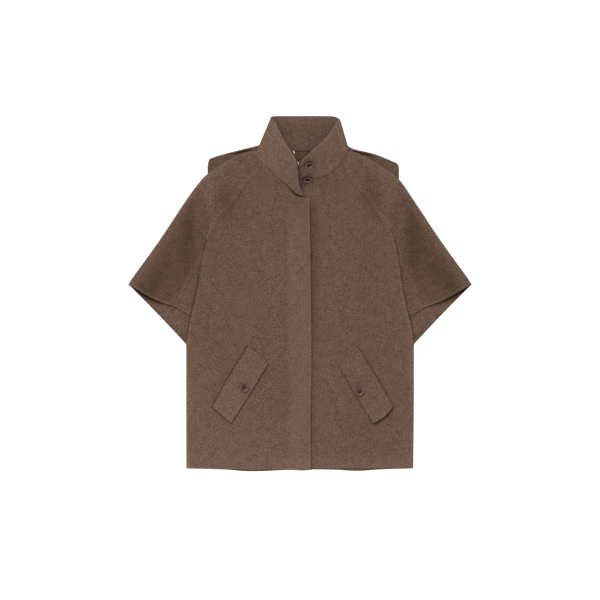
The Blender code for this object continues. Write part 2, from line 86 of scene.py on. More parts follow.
CURVE_STEPS = 16
LINE_SKIP = 4  # of a curve's points, every fourth is enough to measure distances from
CELL = 4.0  # usual size of a cell of a cloth grid
RIM_LINES = (0.0, 0.12, 0.45, 1.0, 1.8, 3.0, 4.6)  # lines of the grid beside each edge, out from it

# How a panel ends: how far in from the edge it thins, and at which share of its thickness both faces meet
Rim = namedtuple("Rim", "width level")
SEAM = Rim(2.0, 0.80)  # sewn to the next panel, sunk a little into the seam
ROLL = Rim(4.4, -0.25)  # rolls down to the panel below
ROLL_UP = Rim(5.0, 1.0)  # rolls up to the panel above
HEM = Rim(1.7, 0.45)  # turned and pressed
CUT = Rim(1.1, 0.5)  # clean edge
LAP = Rim(1.5, 0.1)  # crisp edge that lies on the panel below
CUFF = Rim(1.6, 0.3)
FLAP = Rim(1.6, 0.5)  # a pocket flap's open edges
FLAP_HEAD = Rim(2.2, 0.2)  # and its sewn one

# Body edge, hem to underarm: the height up the body and the edge's place on each side
Body = namedtuple("Body", "y right left")
BODY_EDGE = [
    Body(-402, -261.6, 260.5),
    Body(-260, -261.9, 261.9),
    Body(-132, -261.9, 262.1),
    Body(-115.5, -262.9, 262.9),
    Body(-82, -258.5, 258.8),
    Body(-47, -250.7, 250.3),
    Body(-14, -242.3, 242.1),
    Body(40, -231.7, 233.1),
    Body(85, -225, 226.3),
    Body(128, -215.7, 217.5),
]
UNDERARM = 4  # rows of it up to the corner where body and back sleeve part

# Points that come in pairs, one on the wearer's right and one on the left
Pair = namedtuple("Pair", "right_x right_y left_x left_y")
UNDERARM_FRONT = Pair(-215.7, 128, 217.5, 128)
UNDERARM_BACK = Pair(-262.9, -115.5, 262.9, -115.5)
CUFF_SEAM = Pair(-284.2, -32.6, 286.2, -32.6)
CUFF_TIP = Pair(-395.4, 20.9, 395.4, 20.9)
WING_CORNER = Pair(-210.7, -60, 213.3, -60)
RAGLAN = [  # neck to underarm
    Pair(-88.6, 301.5, 100.3, 306.5),
    Pair(-134.2, 249, 122.8, 263.5),
    Pair(-162.7, 208, 151.3, 230.7),
    Pair(-184.2, 185, 176.3, 194.5),
    Pair(-207.2, 152, 196.3, 165),
    UNDERARM_FRONT,
]
RAGLAN_LOWER = [  # underarm to front cuff, first under the body's edge
    UNDERARM_FRONT,
    Pair(-222.2, 84, 223.3, 84),
    Pair(-246.1, 42, 244.3, 39),
    CUFF_SEAM,
]
RAGLAN_BACK = [  # neck to back cuff
    Pair(-78.7, 326.6, 89.3, 326.6),
    Pair(-127.7, 262, 129.3, 262),
    Pair(-168.7, 204, 170.3, 204),
    Pair(-199.7, 160, 201.3, 160),
    Pair(-217.7, 112, 219.3, 112),
    Pair(-232.7, 40, 234.3, 40),
    Pair(-252.7, -60, 253.3, -60),
    UNDERARM_BACK,
]
OVERARM = [  # neck to the cuff's outer corner
    Pair(-98.9, 329.3, 111.1, 327.3),
    Pair(-126.7, 324.5, 134.3, 322.7),
    Pair(-165.7, 307, 161, 309),
    Pair(-207, 279.5, 199.3, 286),
    Pair(-228.1, 260.1, 230.1, 260.1),
    Pair(-262.6, 214.1, 262.2, 214.1),
    Pair(-323.7, 122.1, 323.7, 122.1),
    Pair(-381.7, 41.6, 381.7, 41.6),
    CUFF_TIP,
]
FRONT_CUFF = [  # raglan seam to outer corner
    CUFF_SEAM,
    Pair(-316, -22.4, 310, -25),
    Pair(-352, -5.7, 345, -8.2),
    CUFF_TIP,
]
BACK_CUFF = [  # underarm corner to outer corner
    UNDERARM_BACK,
    Pair(-324.1, -50.4, 324.1, -50.4),
    Pair(-385.3, 11.7, 385.4, 11.7),
    CUFF_TIP,
]
WING_CUFF = [  # from under the body to the raglan seam
    WING_CORNER,
    Pair(-251.2, -51.6, 253.8, -52.0),
    CUFF_SEAM,
]
WING_INNER = [  # hidden edge under the body, cuff to underarm
    WING_CORNER,
    Pair(-202.7, 20, 205.3, 20),
    Pair(-207.7, 118, 209.3, 118),
]

# Plan outlines, x and y
NECKLINE_RIGHT = [
    (-88.6, 301.5), (-49.9, 267), (-30.3, 249.4), (-14.1, 232.3), (-4, 225.4), (9.2, 223.2), (23.9, 221),
]
NECKLINE_LEFT = [(100.3, 306.5), (65.1, 275), (32.6, 263.6), (2.3, 252), (-15.7, 244)]
FRONT_EDGE_RIGHT = [(26.3, -405.2), (26.0, -300), (27.9, -160), (26.4, 40), (24.4, 140), (23.9, 221)]
FRONT_EDGE_LEFT = [(-13.7, -403), (-15.7, 60), (-15.7, 244)]
FRONT_HEM_RIGHT = [(-261.6, -402), (-188.7, -403.6), (-25.3, -405.4), (1.3, -406.6), (26.3, -405.2)]
FRONT_HEM_LEFT = [(260.5, -402), (172.3, -402), (80.3, -402), (-13.7, -403)]
BACK_HEM = [
    (-261.6, -402), (-188.7, -404), (-159.7, -405.7), (-124.7, -408.6), (-86.7, -408.4), (-25.7, -405.6),
    (24.3, -404.6), (80.3, -405.2), (115.3, -407.5), (143.3, -407.6), (185.3, -404.6), (260.5, -402),
]
BACK_NECK = [(-78.7, 327.4), (89.3, 327.4)]
STORM_TOP_RIGHT = [
    (-212.9, 293), (-210.3, 306.1), (-205.9, 310.9), (-182.9, 319.1), (-136.9, 330.7), (-102.2, 339.4),
    (-95, 341.6),
]
STORM_TOP_LEFT = [
    (107, 340.6), (113.8, 337.8), (127.6, 331.7), (162.1, 323.7), (185.1, 316.4), (217.3, 302.7),
    (224.8, 298.6), (227.9, 290),
]
STORM_NECK = [
    (-95, 341.6), (-93.6, 329.9), (-76, 328.2), (-56, 327.6), (-40, 328.9), (48, 328.9), (69, 327.6),
    (90, 327.8), (106, 328.6), (107, 340.6),
]
STORM_FOOT = [(-202.7, 125), (8.3, 120), (217.3, 125)]
STORM_SIDE_RIGHT = [(-202.7, 125), (-211.2, 220), (-212.9, 293)]
STORM_SIDE_LEFT = [(217.3, 125), (226.5, 220), (227.9, 290)]

# Collar sections from the right end round the back to the left end: the seam point and the top point
Rib = namedtuple("Rib", "seam_x seam_y seam_z top_x top_y top_z")
COLLAR = [
    Rib(10.3, 224.9, 13.4, -4, 277, 50),
    Rib(3.0, 225.7, 13.6, -6.6, 288, 57.5),
    Rib(-4.6, 228.2, 13.4, -9.8, 299, 61),
    Rib(-15.2, 235.8, 12.8, -12, 309, 60),
    Rib(-30.2, 250.8, 11.4, -18, 321, 55),
    Rib(-49.9, 268.6, 10.9, -28.7, 337.6, 47),
    Rib(-67.7, 285.8, 10.7, -37.5, 352.6, 42),
    Rib(-83.3, 301.4, 10.5, -45.9, 370.2, 35),
    Rib(-92.5, 318.6, 10, -54.3, 389, 23),
    Rib(-96.5, 331, 7.2, -64.6, 404.5, 11),
    Rib(-88, 331, 2.4, -58.2, 408.3, 2.4),
    Rib(-56.7, 327.6, 3.9, -32.7, 408.6, 2),
    Rib(6.3, 327.6, 3.9, 8.3, 408.7, 2),
    Rib(69.3, 327.6, 3.9, 53.3, 408.6, 2),
    Rib(101.3, 329, 2.4, 79.3, 407.4, 2.4),
    Rib(110.3, 331, 7.2, 90.3, 400, 11),
    Rib(105.5, 320.4, 10.2, 83.9, 392.8, 24),
    Rib(96.9, 304.8, 10.6, 74.7, 377.4, 36),
    Rib(83.9, 289.4, 10.4, 63.5, 360.2, 44),
    Rib(65.1, 275.8, 10.2, 49.2, 345, 52),
    Rib(43.7, 268, 10.2, 31.2, 329, 60),
    Rib(23, 260.8, 10.2, 15, 314, 60),
    Rib(2.3, 252.8, 10.2, -0.8, 300.6, 50),
    Rib(-10.3, 246, 10.2, -9.5, 292, 42),
]
TIP_BOW = 4.5  # how far the right end's edge curves in from a straight line
TIP_SECTIONS = 3
COLLAR_COLUMNS = 9  # cells from one section to the next
COLLAR_LEVELS = 22
COLLAR_FOOT = 7.0  # how high up the outer layer thins towards its seam
FOOT_DROP = 0.6
FOOT_LAP = 1.6  # how far the foot reaches out over the neckline

# A painted dark line of shade on a pocket flap's edge: its strength and width, and how much it widens and
# fades along the edge
Trace = namedtuple("Trace", "dark width widens fades")

# Pocket flaps: the corners from the sewn upper end round the outer edge, the button's middle, the end's curl,
# how far the lower, inner and outer edges bow outwards, the painted light on the flap and the painted shade
# lines on those three edges
Pocket = namedtuple("Pocket", "side corners button curl bows tone foot inner outer")
POCKETS = [
    Pocket("right", ((-70.7, -162), (-121, -118.7), (-204, -260.4), (-158.7, -299.7)), (-127.9, -216.2), 1.2,
           (0.0, 0.4, 1.8), 0.14, Trace(0.98, 1.932, 0, 0.192), Trace(0.98, 1.5, 1.3, 0),
           Trace(0.88, 2.4, 0, 0)),
    Pocket("left", ((88.3, -164.5), (134.1, -120.6), (216.6, -259.7), (169.3, -300.4)), (137, -224.6), 3.6,
           (5.0, 2.0, 1.0), 0.03, Trace(1.15, 2.796, 0, 0.576), Trace(0.78, 1.6, 0, 0.5),
           Trace(0.66, 2.4, 1.0, 0.3)),
]

# Places on the collar: how far from the right end to the left end, how far from the seam to the top,
# how many degrees the piece hangs round from square, and how many it tips down
CollarSpot = namedtuple("CollarSpot", "name along up turn tip")
COLLAR_BUTTONS = [CollarSpot("upper", 20.95, 0.69, -4, 11), CollarSpot("lower", 21.27, 0.15, -14, 17)]
COLLAR_STUDS = [CollarSpot("upper", 4.0, 1.0, 0, 0), CollarSpot("lower", 1.65, 1.005, 0, 0)]
BUTTON_RADIUS = 11.0
BUTTON_HEIGHT = 4.0

# What shows on a button's face: the dark middle's radius, where a thin pale ring of painted highlight starts,
# and where it ends on the lower and on the upper half
Face = namedtuple("Face", "bowl ring_in low_out top_out")
POCKET_FACE = Face(3.9, 9.2, 10.2, 10.2)
COLLAR_FACE = Face(7.4, 7.4, 8.6, 9.3)
BUTTON_STANDOFF = 0.5
BUTTON_SHANK = 3.0
STUD_RADIUS = 4.7
STUD_HEIGHT = 1.6
STUD_STANDOFF = 1.0

# Soft folds of the laid cloth: a line, the fold's half width and its height (a trough is below nought)
Fold = namedtuple("Fold", "x0 y0 x1 y1 width height")
FRONT_FOLDS = [Fold(*row) for row in (
    (-124.7, 225, -136.7, 120, 16, -0.6), (-56.7, 230, -146.7, 20, 34, 1.6),
    (-206.7, -20, -186.7, -330, 30, 1.5), (-96.7, -40, -76.7, -380, 38, 1.2),
    (121.3, 215, 141.3, 110, 16, -0.6), (63.3, 225, 153.3, 20, 34, 1.6),
    (208.3, -20, 193.3, -330, 30, 1.5), (98.3, -30, 83.3, -380, 38, 1.2),
    (-196, 262, -203, 165, 9, 1.6), (-168, 240, -150, 118, 14, -1.5),
    (196, 262, 203, 165, 9, 1.6), (165, 236, 152, 118, 14, -1.4),
    (-236, -150, -222, -400, 18, 1.4), (238, -150, 226, -400, 18, 1.2),
    (-178, -100, -196, -240, 16, -0.9), (108, 60, 96, -260, 20, -1.2),
    (150, -20, 168, -110, 14, -0.6), (-60, 120, -52, -190, 15, -0.9),
    (-20, -300, -150, -395, 22, 0.8), (160, -330, 40, -392, 24, -0.8),
)]
SLEEVE_FOLDS = [Fold(*row) for row in (
    (-232.7, 215, -248.7, 110, 13, 2.2), (-296.7, 110, -348.7, 22, 22, 1.6),
    (-281.7, 150, -316.7, 10, 20, -0.8), (215.3, 235, 243.3, 110, 13, 2.2),
    (303.3, 110, 355.3, 25, 22, 1.6), (281.3, 160, 321.3, 10, 20, -0.8),
)]

# Painted light and shade in soft patches, for nap that lies another way and for light and shade on the laid
# cloth: a soft oval, its turn in degrees and its strength
Nap = namedtuple("Nap", "x y across along turn tone")
SHOULDER_PAINTED_PATCHES = [Nap(*row) for row in (
    (-178, 228, 13, 26, -22, -0.16), (-160, 200, 20, 44, -8, -0.21), (-214, 250, 18, 44, -22, 0.15),
    (163, 246, 16, 40, 20, -0.20), (207, 262, 14, 40, 24, 0.08), (-205, 205, 9, 48, 4, 0.12),
    (203, 210, 9, 48, -4, 0.10), (160, 212, 18, 34, 12, -0.12), (-229, 165, 8, 36, 8, 0.12),
    (231, 165, 8, 36, -8, 0.12), (-126, 314, 18, 10, 0, -0.13), (-207, 215, 12, 40, -15, 0.05),
    (205, 190, 12, 40, 15, 0.06),
)]
SLEEVE_PAINTED_PATCHES = SHOULDER_PAINTED_PATCHES + [Nap(*row) for row in (
    (-255, 150, 18, 92, -5, -0.16), (-341, 20, 24, 46, -50, -0.18), (-266, 50, 16, 40, -20, -0.06),
    (258, 150, 18, 92, 5, -0.16), (263, 198, 12, 56, 36, 0.07), (-238, 222, 10, 34, -36, -0.05),
    (238, 228, 10, 34, 36, -0.07), (-237, 130, 7, 42, 5, 0.12), (237, 128, 7, 42, -5, 0.12),
    (-292, 30, 24, 40, -20, 0.04), (292, 30, 24, 40, 20, 0.04), (343, 22, 24, 46, 50, -0.18),
    (300, 80, 20, 60, 30, -0.05),
)]
FRONT_PAINTED_PATCHES = SHOULDER_PAINTED_PATCHES + [Nap(*row) for row in (
    (-205, 110, 30, 60, 0, -0.09), (-118, 185, 40, 40, 0, -0.05), (-70, 195, 16, 30, 0, 0.06),
    (80, 240, 26, 36, 0, -0.10), (26, 230, 18, 12, 0, 0.14), (1, 240, 3.5, 9, 0, -0.45),
    (69, 15, 14, 50, 0, 0.07), (-120, -55, 40, 30, 0, 0.06), (-170, -335, 45, 30, 0, 0.06),
    (-112, -375, 40, 22, 0, 0.07), (-208, -104, 18, 12, 0, -0.08), (112, -60, 16, 30, 0, -0.06),
    (115, -265, 20, 50, 0, -0.06), (150, -365, 60, 20, 0, -0.09), (-258, -235, 9, 40, 0, 0.15),
    (-258, -385, 10, 30, 0, 0.12), (257, -125, 9, 55, 0, 0.09), (-22, -240, 14, 60, 0, -0.06),
    (18, 212, 9, 10, 0, 0.10), (-172, -184, 9, 60, -30, -0.08), (165, 55, 40, 190, 0, -0.08),
    (-215, -330, 42, 70, 0, 0.05), (-60, 30, 40, 70, 0, 0.05), (-205, -245, 40, 60, 0, 0.08),
    (110, 30, 30, 60, 0, 0.03), (172, -294, 30, 9, 32, -0.16), (-75, -190, 8, 60, -30, -0.10),
    (160, -330, 90, 50, 0, -0.05), (-100, -330, 60, 50, 0, 0.04), (-106, -119, 15, 4.5, -38, -0.16),
    (124, -115, 12, 4.5, 38, -0.10),
)]
BACK_SLEEVE_PAINTED_PATCHES = [Nap(*row) for row in (
    (-272, -95, 5, 9, -40, -0.20), (265, -95, 5, 9, 40, -0.20),
)]


def ramp(value, climb):
    """Smooth step from 0 at the climb's start to 1 at its end."""
    start, end = climb
    t = np.clip((np.asarray(value, float) - start) / (end - start), 0, 1)
    return t * t * (3 - 2 * t)


def window(value, opens, closes):
    """1 between two climbs: it rises over the first and falls over the second."""
    return ramp(value, opens) * (1 - ramp(value, closes))


def swell(value, middle, width):
    """A soft swell of height 1 round a middle."""
    return np.exp(-((value - middle) / width) ** 2)


def glow(distance, tone, reach):
    """A band of painted light or painted shade that dies away from an edge, painted light where raised hairs
    would catch light.
    """
    return tone * np.exp(-distance / reach)


# A smooth step, in tone or in share: where it starts and ends, and its size
Step = namedtuple("Step", "start end size")


def steps(value, *rows):
    """Sum of smooth steps."""
    return sum(row.size * ramp(value, (row.start, row.end)) for row in rows)


# A soft mark: its middle, its half width and its strength
Mark = namedtuple("Mark", "middle width tone")


def mark(value, spot):
    return spot.tone * swell(value, spot.middle, spot.width)


# ---- Plan lines and grids ----

def side_points(pairs, side):
    """The points of a paired table that belong to one side."""
    if side == "right":
        return [(row.right_x, row.right_y) for row in pairs]
    return [(row.left_x, row.left_y) for row in pairs]


def body_edge(side):
    return [(row.right if side == "right" else row.left, row.y) for row in BODY_EDGE]


def seam(pairs, side):
    return Curve(side_points(pairs, side))


def spline(a, b, c, d, t):
    """The point at t between b and c on a smooth curve through a, b, c and d."""
    bend = (2 * a - 5 * b + 4 * c - d) * t ** 2 + (3 * b - a - 3 * c + d) * t ** 3
    return 0.5 * (2 * b + (c - a) * t + bend)


class Curve:
    """A curve through points, smooth within each run and free to turn between runs, read by length."""

    def __init__(self, *runs):
        pieces = [self.smooth(np.array(run, float)) for run in runs]
        ends = np.cumsum([len(piece) for piece in pieces]) - 1
        self.points = np.concatenate(pieces)
        lengths = np.linalg.norm(np.diff(self.points, axis=0), axis=1)
        self.places = np.concatenate([[0.0], np.cumsum(lengths)])
        self.length = self.places[-1]
        self.turns = [self.places[end] / self.length for end in ends[:-1]]

    def smooth(self, knots):
        ends = np.concatenate([[2 * knots[0] - knots[1]], knots, [2 * knots[-1] - knots[-2]]])
        shares = np.arange(CURVE_STEPS)[:, None] / CURVE_STEPS
        pieces = [spline(*ends[index:index + 4], shares) for index in range(len(knots) - 1)]
        return np.concatenate(pieces + [knots[-1:]])

    def at(self, shares):
        places = np.asarray(shares) * self.length
        return np.stack([np.interp(places, self.places, self.points[:, axis]) for axis in (0, 1)], axis=-1)


def lines_between(length, cell, turns):
    """Shares of a length for a grid's lines: close together beside both ends, and one on each turn."""
    inner = RIM_LINES[-1]
    count = max(2, round((length - 2 * inner) / cell))
    middle = np.linspace(inner, length - inner, count + 1)[1:-1]
    places = np.concatenate([RIM_LINES, middle, length - np.array(RIM_LINES[::-1])]) / length
    for turn in turns:
        places[1 + np.argmin(np.abs(places[1:-1] - turn))] = turn
    return places


def distance_to(points, line):
    """Distance from each plan point to a plan line."""
    best = np.full(points.shape[:-1], np.inf)
    for start, end in zip(line[:-1], line[1:]):
        run = end - start
        share = np.clip(((points - start) @ run) / max(run @ run, 1e-9), 0, 1)
        gap = points - start - share[..., None] * run
        best = np.minimum(best, np.hypot(gap[..., 0], gap[..., 1]))
    return best


class Panel:
    """A grid of plan points inside four edges: foot and head run from first to last, the others upward."""

    def __init__(self, foot, head, first, last, cell=CELL, height=None):
        self.foot, self.head, self.first, self.last = self.edges = (foot, head, first, last)
        self.u = lines_between(max(foot.length, head.length), cell, head.turns)
        self.v = lines_between(height or max(first.length, last.length), cell, first.turns)
        u, v = self.u[None, :, None], self.v[:, None, None]
        ruled = foot.at(self.u)[None] * (1 - v) + head.at(self.u)[None] * v
        ruled = ruled + first.at(self.v)[:, None] * (1 - u) + last.at(self.v)[:, None] * u
        low = foot.at(0.0) * (1 - u) + foot.at(1.0) * u
        high = head.at(0.0) * (1 - u) + head.at(1.0) * u
        self.plan = ruled - low * (1 - v) - high * v
        self.x, self.y = self.plan[..., 0], self.plan[..., 1]

    def gap_to(self, line):
        """Distance from each point to a curve."""
        return distance_to(self.plan, line.points[::LINE_SKIP])

    def fullness(self, rims):
        """How full the wall is at each point, 0 on the edge to 1 inside, and where on it both faces meet."""
        full = np.ones(self.x.shape)
        weight = np.full(self.x.shape, 1e-6)
        level = 0.5 * weight
        for edge, rim in zip(self.edges, rims):
            share = np.ones(self.x.shape)
            for line, kind in [(edge, rim)] if isinstance(rim, Rim) else rim:
                near = np.clip(self.gap_to(line) / kind.width, 0, 1)
                side = np.sqrt(1 - (1 - near) ** 2)
                share = np.minimum(share, side)
                level = level + (1 - side) * kind.level
                weight = weight + (1 - side)
            full = full * share
        full[0, :] = full[-1, :] = full[:, 0] = full[:, -1] = 0
        return full, level / weight


# ---- Heights of the layers ----

def fold_height(folds, x, y):
    """Sum of the soft folds at plan points."""
    total = np.zeros(x.shape)
    for fold in folds:
        run = np.array([fold.x1 - fold.x0, fold.y1 - fold.y0])
        share = np.clip(((x - fold.x0) * run[0] + (y - fold.y0) * run[1]) / (run @ run), 0, 1)
        distance = np.hypot(x - fold.x0 - share * run[0], y - fold.y0 - share * run[1])
        fade = np.sin(math.pi * (FOLD_END + (1 - 2 * FOLD_END) * share))
        total += fold.height * swell(distance, 0, fold.width) * fade
    return total


# Sum of the soft patches of painted light and shade at plan points
def painted_patches(patches, x, y):
    total = np.zeros(x.shape)
    for nap in patches:
        turn = math.radians(nap.turn)
        across = (x - nap.x) * math.cos(turn) + (y - nap.y) * math.sin(turn)
        along = (y - nap.y) * math.cos(turn) - (x - nap.x) * math.sin(turn)
        total += nap.tone * np.exp(-((across / nap.across) ** 2) - (along / nap.along) ** 2)
    return total


def back_under(x, y):
    """Underside of the back layer: flat, and up on the storm flap."""
    return FLAP_STEP * window(x, FLAP_CLIMB_RIGHT, FLAP_CLIMB_LEFT) * ramp(y, FLAP_CLIMB_FOOT)


def back_top(x, y):
    return back_under(x, y) + CLOTH


def from_body_edge(side, x, y):
    """How far in from the body's edge plan points are."""
    edge = np.array(body_edge(side))
    return np.abs(np.interp(y, edge[:, 1], edge[:, 0]) - x)


def front_under(side, x, y):
    """Underside of a front: on the back, up on the sleeve at the body's edge, and up on the other front."""
    from_edge = from_body_edge(side, x, y)
    on_sleeve = window(y, SLEEVE_CLIMB_LOW, SLEEVE_CLIMB_HIGH)
    on_sleeve = on_sleeve * (1 - ramp(from_edge, SLEEVE_CLIMB_IN))
    height = back_top(x, y) + FRONT_LAY + SLEEVE_STEP * on_sleeve
    relief = fold_height(FRONT_FOLDS, x, y) * ramp(from_edge, EDGE_CALM)
    if side == "right":
        height = height + FLY_STEP * ramp(x, FLY_CLIMB)
        relief = relief * (1 - ramp(x, FLY_CLIMB))
    else:
        relief = relief * ramp(x, FLY_CALM)
    return height + relief * (1 - on_sleeve)


def front_top(side, x, y):
    return front_under(side, x, y) + CLOTH


def sleeve_under(x, y, across, down):
    """Underside of a sleeve's front half; across runs from raglan to overarm, down from neck to cuff."""
    relief = SLEEVE_FILL + fold_height(SLEEVE_FOLDS, x, y)
    relief = relief * ramp(across, SLEEVE_RELIEF_IN) * ramp(1 - across, SLEEVE_RELIEF_OUT)
    cuff = CUFF_LIFT * ramp(down, CUFF_RAISE_DOWN) * window(across, CUFF_RAISE_IN, CUFF_RAISE_OUT)
    return back_top(x, y) + SLEEVE_LAY + np.maximum(0, relief) + cuff


# ---- Materials ----

class Wire:
    """A node's socket, with arithmetic that adds Math nodes."""

    def __init__(self, shop, socket):
        self.shop, self.socket = shop, socket

    def math(self, operation, *values):
        return self.shop.add("ShaderNodeMath", {"operation": operation}, dict(enumerate(values)))

    def __add__(self, other):
        return self.math("ADD", self, other)

    def __mul__(self, other):
        return self.math("MULTIPLY", self, other)

    __radd__ = __add__
    __rmul__ = __mul__


class Shop:
    """Makes one material and its nodes."""

    def __init__(self, name):
        self.material = bpy.data.materials.new(name)
        self.material.use_nodes = True
        self.tree = self.material.node_tree
        self.shader = self.tree.nodes["Principled BSDF"]

    def add(self, kind, settings=None, sockets=None, output=0):
        """Adds a node with its settings and its sockets' values or links, and returns one output."""
        node = self.tree.nodes.new(kind)
        for key, value in (settings or {}).items():
            if key == "stops":
                self.fill_ramp(node.color_ramp, value)
            else:
                setattr(node, key, value)
        for key, value in (sockets or {}).items():
            self.feed(node.inputs[key], value)
        return Wire(self, node.outputs[output])

    def fill_ramp(self, color_ramp, stops):
        while len(color_ramp.elements) < len(stops):
            color_ramp.elements.new(0.5)
        for element, (place, color) in zip(color_ramp.elements, stops):
            element.position = place
            element.color = (*color, 1.0)

    def feed(self, socket, value):
        if isinstance(value, Wire):
            self.tree.links.new(value.socket, socket)
        elif socket.type == "RGBA" and len(value) == 3:
            socket.default_value = (*value, 1.0)
        else:
            socket.default_value = value

    def shade(self, **sockets):
        for key, value in sockets.items():
            self.feed(self.shader.inputs[key.replace("_", " ")], value)

    def grain(self, scale, detail=3.0, roughness=0.6, stretch=(1.0, 1.0, 1.0), turn=0.0, distortion=0.0):
        """Noise in the piece's own space, from 0 to 1; scale is in lumps a metre."""
        place = self.add("ShaderNodeTexCoord", output="Object")
        turned = (0.0, 0.0, math.radians(turn))
        place = self.add("ShaderNodeMapping", sockets={"Vector": place, "Scale": stretch, "Rotation": turned})
        return self.add("ShaderNodeTexNoise", sockets={
            "Vector": place, "Scale": scale, "Detail": detail,
            "Roughness": roughness, "Distortion": distortion})

    def mix(self, factor, first, second):
        """Blends two colours; a Mix node's sockets for colours are found by number."""
        return self.add("ShaderNodeMix", {"data_type": "RGBA"}, {0: factor, 6: first, 7: second}, output=2)

    def by_value(self, value, stops):
        """Looks a colour up on a ramp."""
        return self.add("ShaderNodeValToRGB", {"stops": stops}, {"Fac": value})

    def bump(self, height, distance, strength):
        return self.add("ShaderNodeBump", sockets={
            "Height": height, "Distance": distance, "Strength": strength})


WOOL_BROWN = (0.1070, 0.0656, 0.0459)
WOOL_GAIN = 8.5  # how far light and dark fibres part
FIBRE_TINT = (0.81, 1.01, 1.18)  # light fibres are greyer, and dark ones redder
TONE_TINT = (0.90, 1.0, 1.10)  # where the painted shading is lighter it is a little greyer
WOOL_GLOSS = (1.0, 0.74, 0.58)
FIBRE_STOPS = (0.2, 0.32, 0.41, 0.5, 0.59, 0.68, 0.8)
DARKEST_FIBRE = 0.2  # of the middle brown


def wool(name):
    """Brushed melange wool: light and dark fibres in a brown ground, with painted light and shade from each
    piece's nap attribute.
    """
    shop = Shop(name)
    fibres = shop.grain(1200, roughness=0.7, stretch=(1.0, 0.5, 1.0), turn=6)
    crossing = shop.grain(720, roughness=0.75, stretch=(0.6, 1.0, 1.0), turn=-8)
    flecks = shop.grain(270, roughness=0.7, stretch=(1.0, 0.8, 1.0), turn=5)
    clouds = shop.grain(70)
    melange = fibres * 0.36 + crossing * 0.53 + flecks * 0.04 + clouds * 0.07
    stops = []
    for stop in FIBRE_STOPS:
        gains = [max(DARKEST_FIBRE, 1 + WOOL_GAIN * tint * (stop - 0.5)) for tint in FIBRE_TINT]
        stops.append((stop, [part * gain for part, gain in zip(WOOL_BROWN, gains)]))
    ground = shop.by_value(melange, stops)
    # painted light and shade stored on each cloth piece: above nought lighter, below it darker
    tone = shop.add("ShaderNodeAttribute", {"attribute_name": "nap"}, output="Fac")
    lift = shop.add("ShaderNodeVectorMath", {"operation": "SCALE"}, {"Vector": TONE_TINT, "Scale": tone})
    lift = shop.add("ShaderNodeVectorMath", {"operation": "ADD"}, {0: lift, 1: (1.0, 1.0, 1.0)})
    toned = shop.add("ShaderNodeVectorMath", {"operation": "MULTIPLY"}, {0: ground, 1: lift})
    hairs = fibres * 0.5 + crossing * 0.5
    shop.shade(Base_Color=toned, Roughness=0.92, Sheen_Weight=0.05, Sheen_Roughness=0.6,
               Sheen_Tint=WOOL_GLOSS, Specular_IOR_Level=0.1, Specular_Tint=WOOL_GLOSS,
               Normal=shop.bump(hairs, distance=0.0009, strength=0.5))
    return shop.material


HORN_SHADES = ((0.35, 0.65), (0.55, 1.0), (0.75, 1.6))  # place on the ramp, and share of the brown
HORN_GLOSS = (1.0, 0.68, 0.56)


def horn(name, brown):
    """Polished button stock with a faint streak."""
    shop = Shop(name)
    streaks = shop.grain(160, detail=4, stretch=(1.0, 0.35, 1.0), turn=30, distortion=0.6)
    stops = [(place, [strength * part for part in brown]) for place, strength in HORN_SHADES]
    polish = shop.bump(shop.grain(900, detail=2), distance=0.00004, strength=0.3)
    shop.shade(Base_Color=shop.by_value(streaks, stops), Roughness=streaks * 0.12 + 0.20,
               Specular_IOR_Level=0.25, Specular_Tint=HORN_GLOSS, Normal=polish)
    return shop.material


THREAD_DARK = (0.010, 0.006, 0.005)
THREAD_LIGHT = (0.05, 0.028, 0.022)


def thread(name):
    shop = Shop(name)
    place = shop.add("ShaderNodeTexCoord", output="Object")
    twist = shop.add("ShaderNodeTexWave", {"wave_type": "BANDS", "bands_direction": "DIAGONAL"},
                     {"Scale": 900.0, "Distortion": 0.6, "Vector": place}, "Fac")
    shop.shade(Base_Color=shop.mix(twist, THREAD_DARK, THREAD_LIGHT), Roughness=0.7,
               Normal=shop.bump(twist, distance=0.0001, strength=0.6))
    return shop.material


STEEL_WORN = (0.86, 0.76, 0.70)
STEEL_BRIGHT = (0.98, 0.90, 0.85)


def steel(name):
    shop = Shop(name)
    wear = shop.grain(420)
    shop.shade(Base_Color=shop.mix(wear, STEEL_WORN, STEEL_BRIGHT), Metallic=1.0,
               Roughness=wear * 0.15 + 0.12, Normal=shop.bump(wear, distance=0.00003, strength=0.3))
    return shop.material


# ---- Cloth ----

DARKEST = -0.9  # lowest tone of the painted shade, so that no cloth is quite black


def two_faced(name, upper, lower, nap, material, lower_painted_shading=None):
    """A closed cloth shell from two grids of points that meet on their edges; upper faces up or out."""
    lower_painted_shading = nap if lower_painted_shading is None else lower_painted_shading
    rows, columns = upper.shape[:2]
    top = np.arange(rows * columns).reshape(rows, columns)
    under = top.copy()
    under[1:-1, 1:-1] = rows * columns + np.arange((rows - 2) * (columns - 2)).reshape(rows - 2, columns - 2)
    points = np.concatenate([upper.reshape(-1, 3), lower[1:-1, 1:-1].reshape(-1, 3)]) * MM
    tones = np.clip(np.concatenate([nap.ravel(), lower_painted_shading[1:-1, 1:-1].ravel()]), DARKEST, None)

    def squares(grid):
        return np.stack([grid[:-1, :-1], grid[:-1, 1:], grid[1:, 1:], grid[1:, :-1]], axis=-1).reshape(-1, 4)

    faces = np.concatenate([squares(top), squares(under)[:, ::-1]])
    mesh = bpy.data.meshes.new(name)
    mesh.from_pydata(points.tolist(), [], faces.tolist())
    mesh.attributes.new("nap", "FLOAT", "POINT").data.foreach_set("value", tones.astype(np.float32))
    mesh.materials.append(material)
    mesh.shade_smooth()
    mesh.update()
    piece = bpy.data.objects.new(name, mesh)
    bpy.context.scene.collection.objects.link(piece)
    return piece


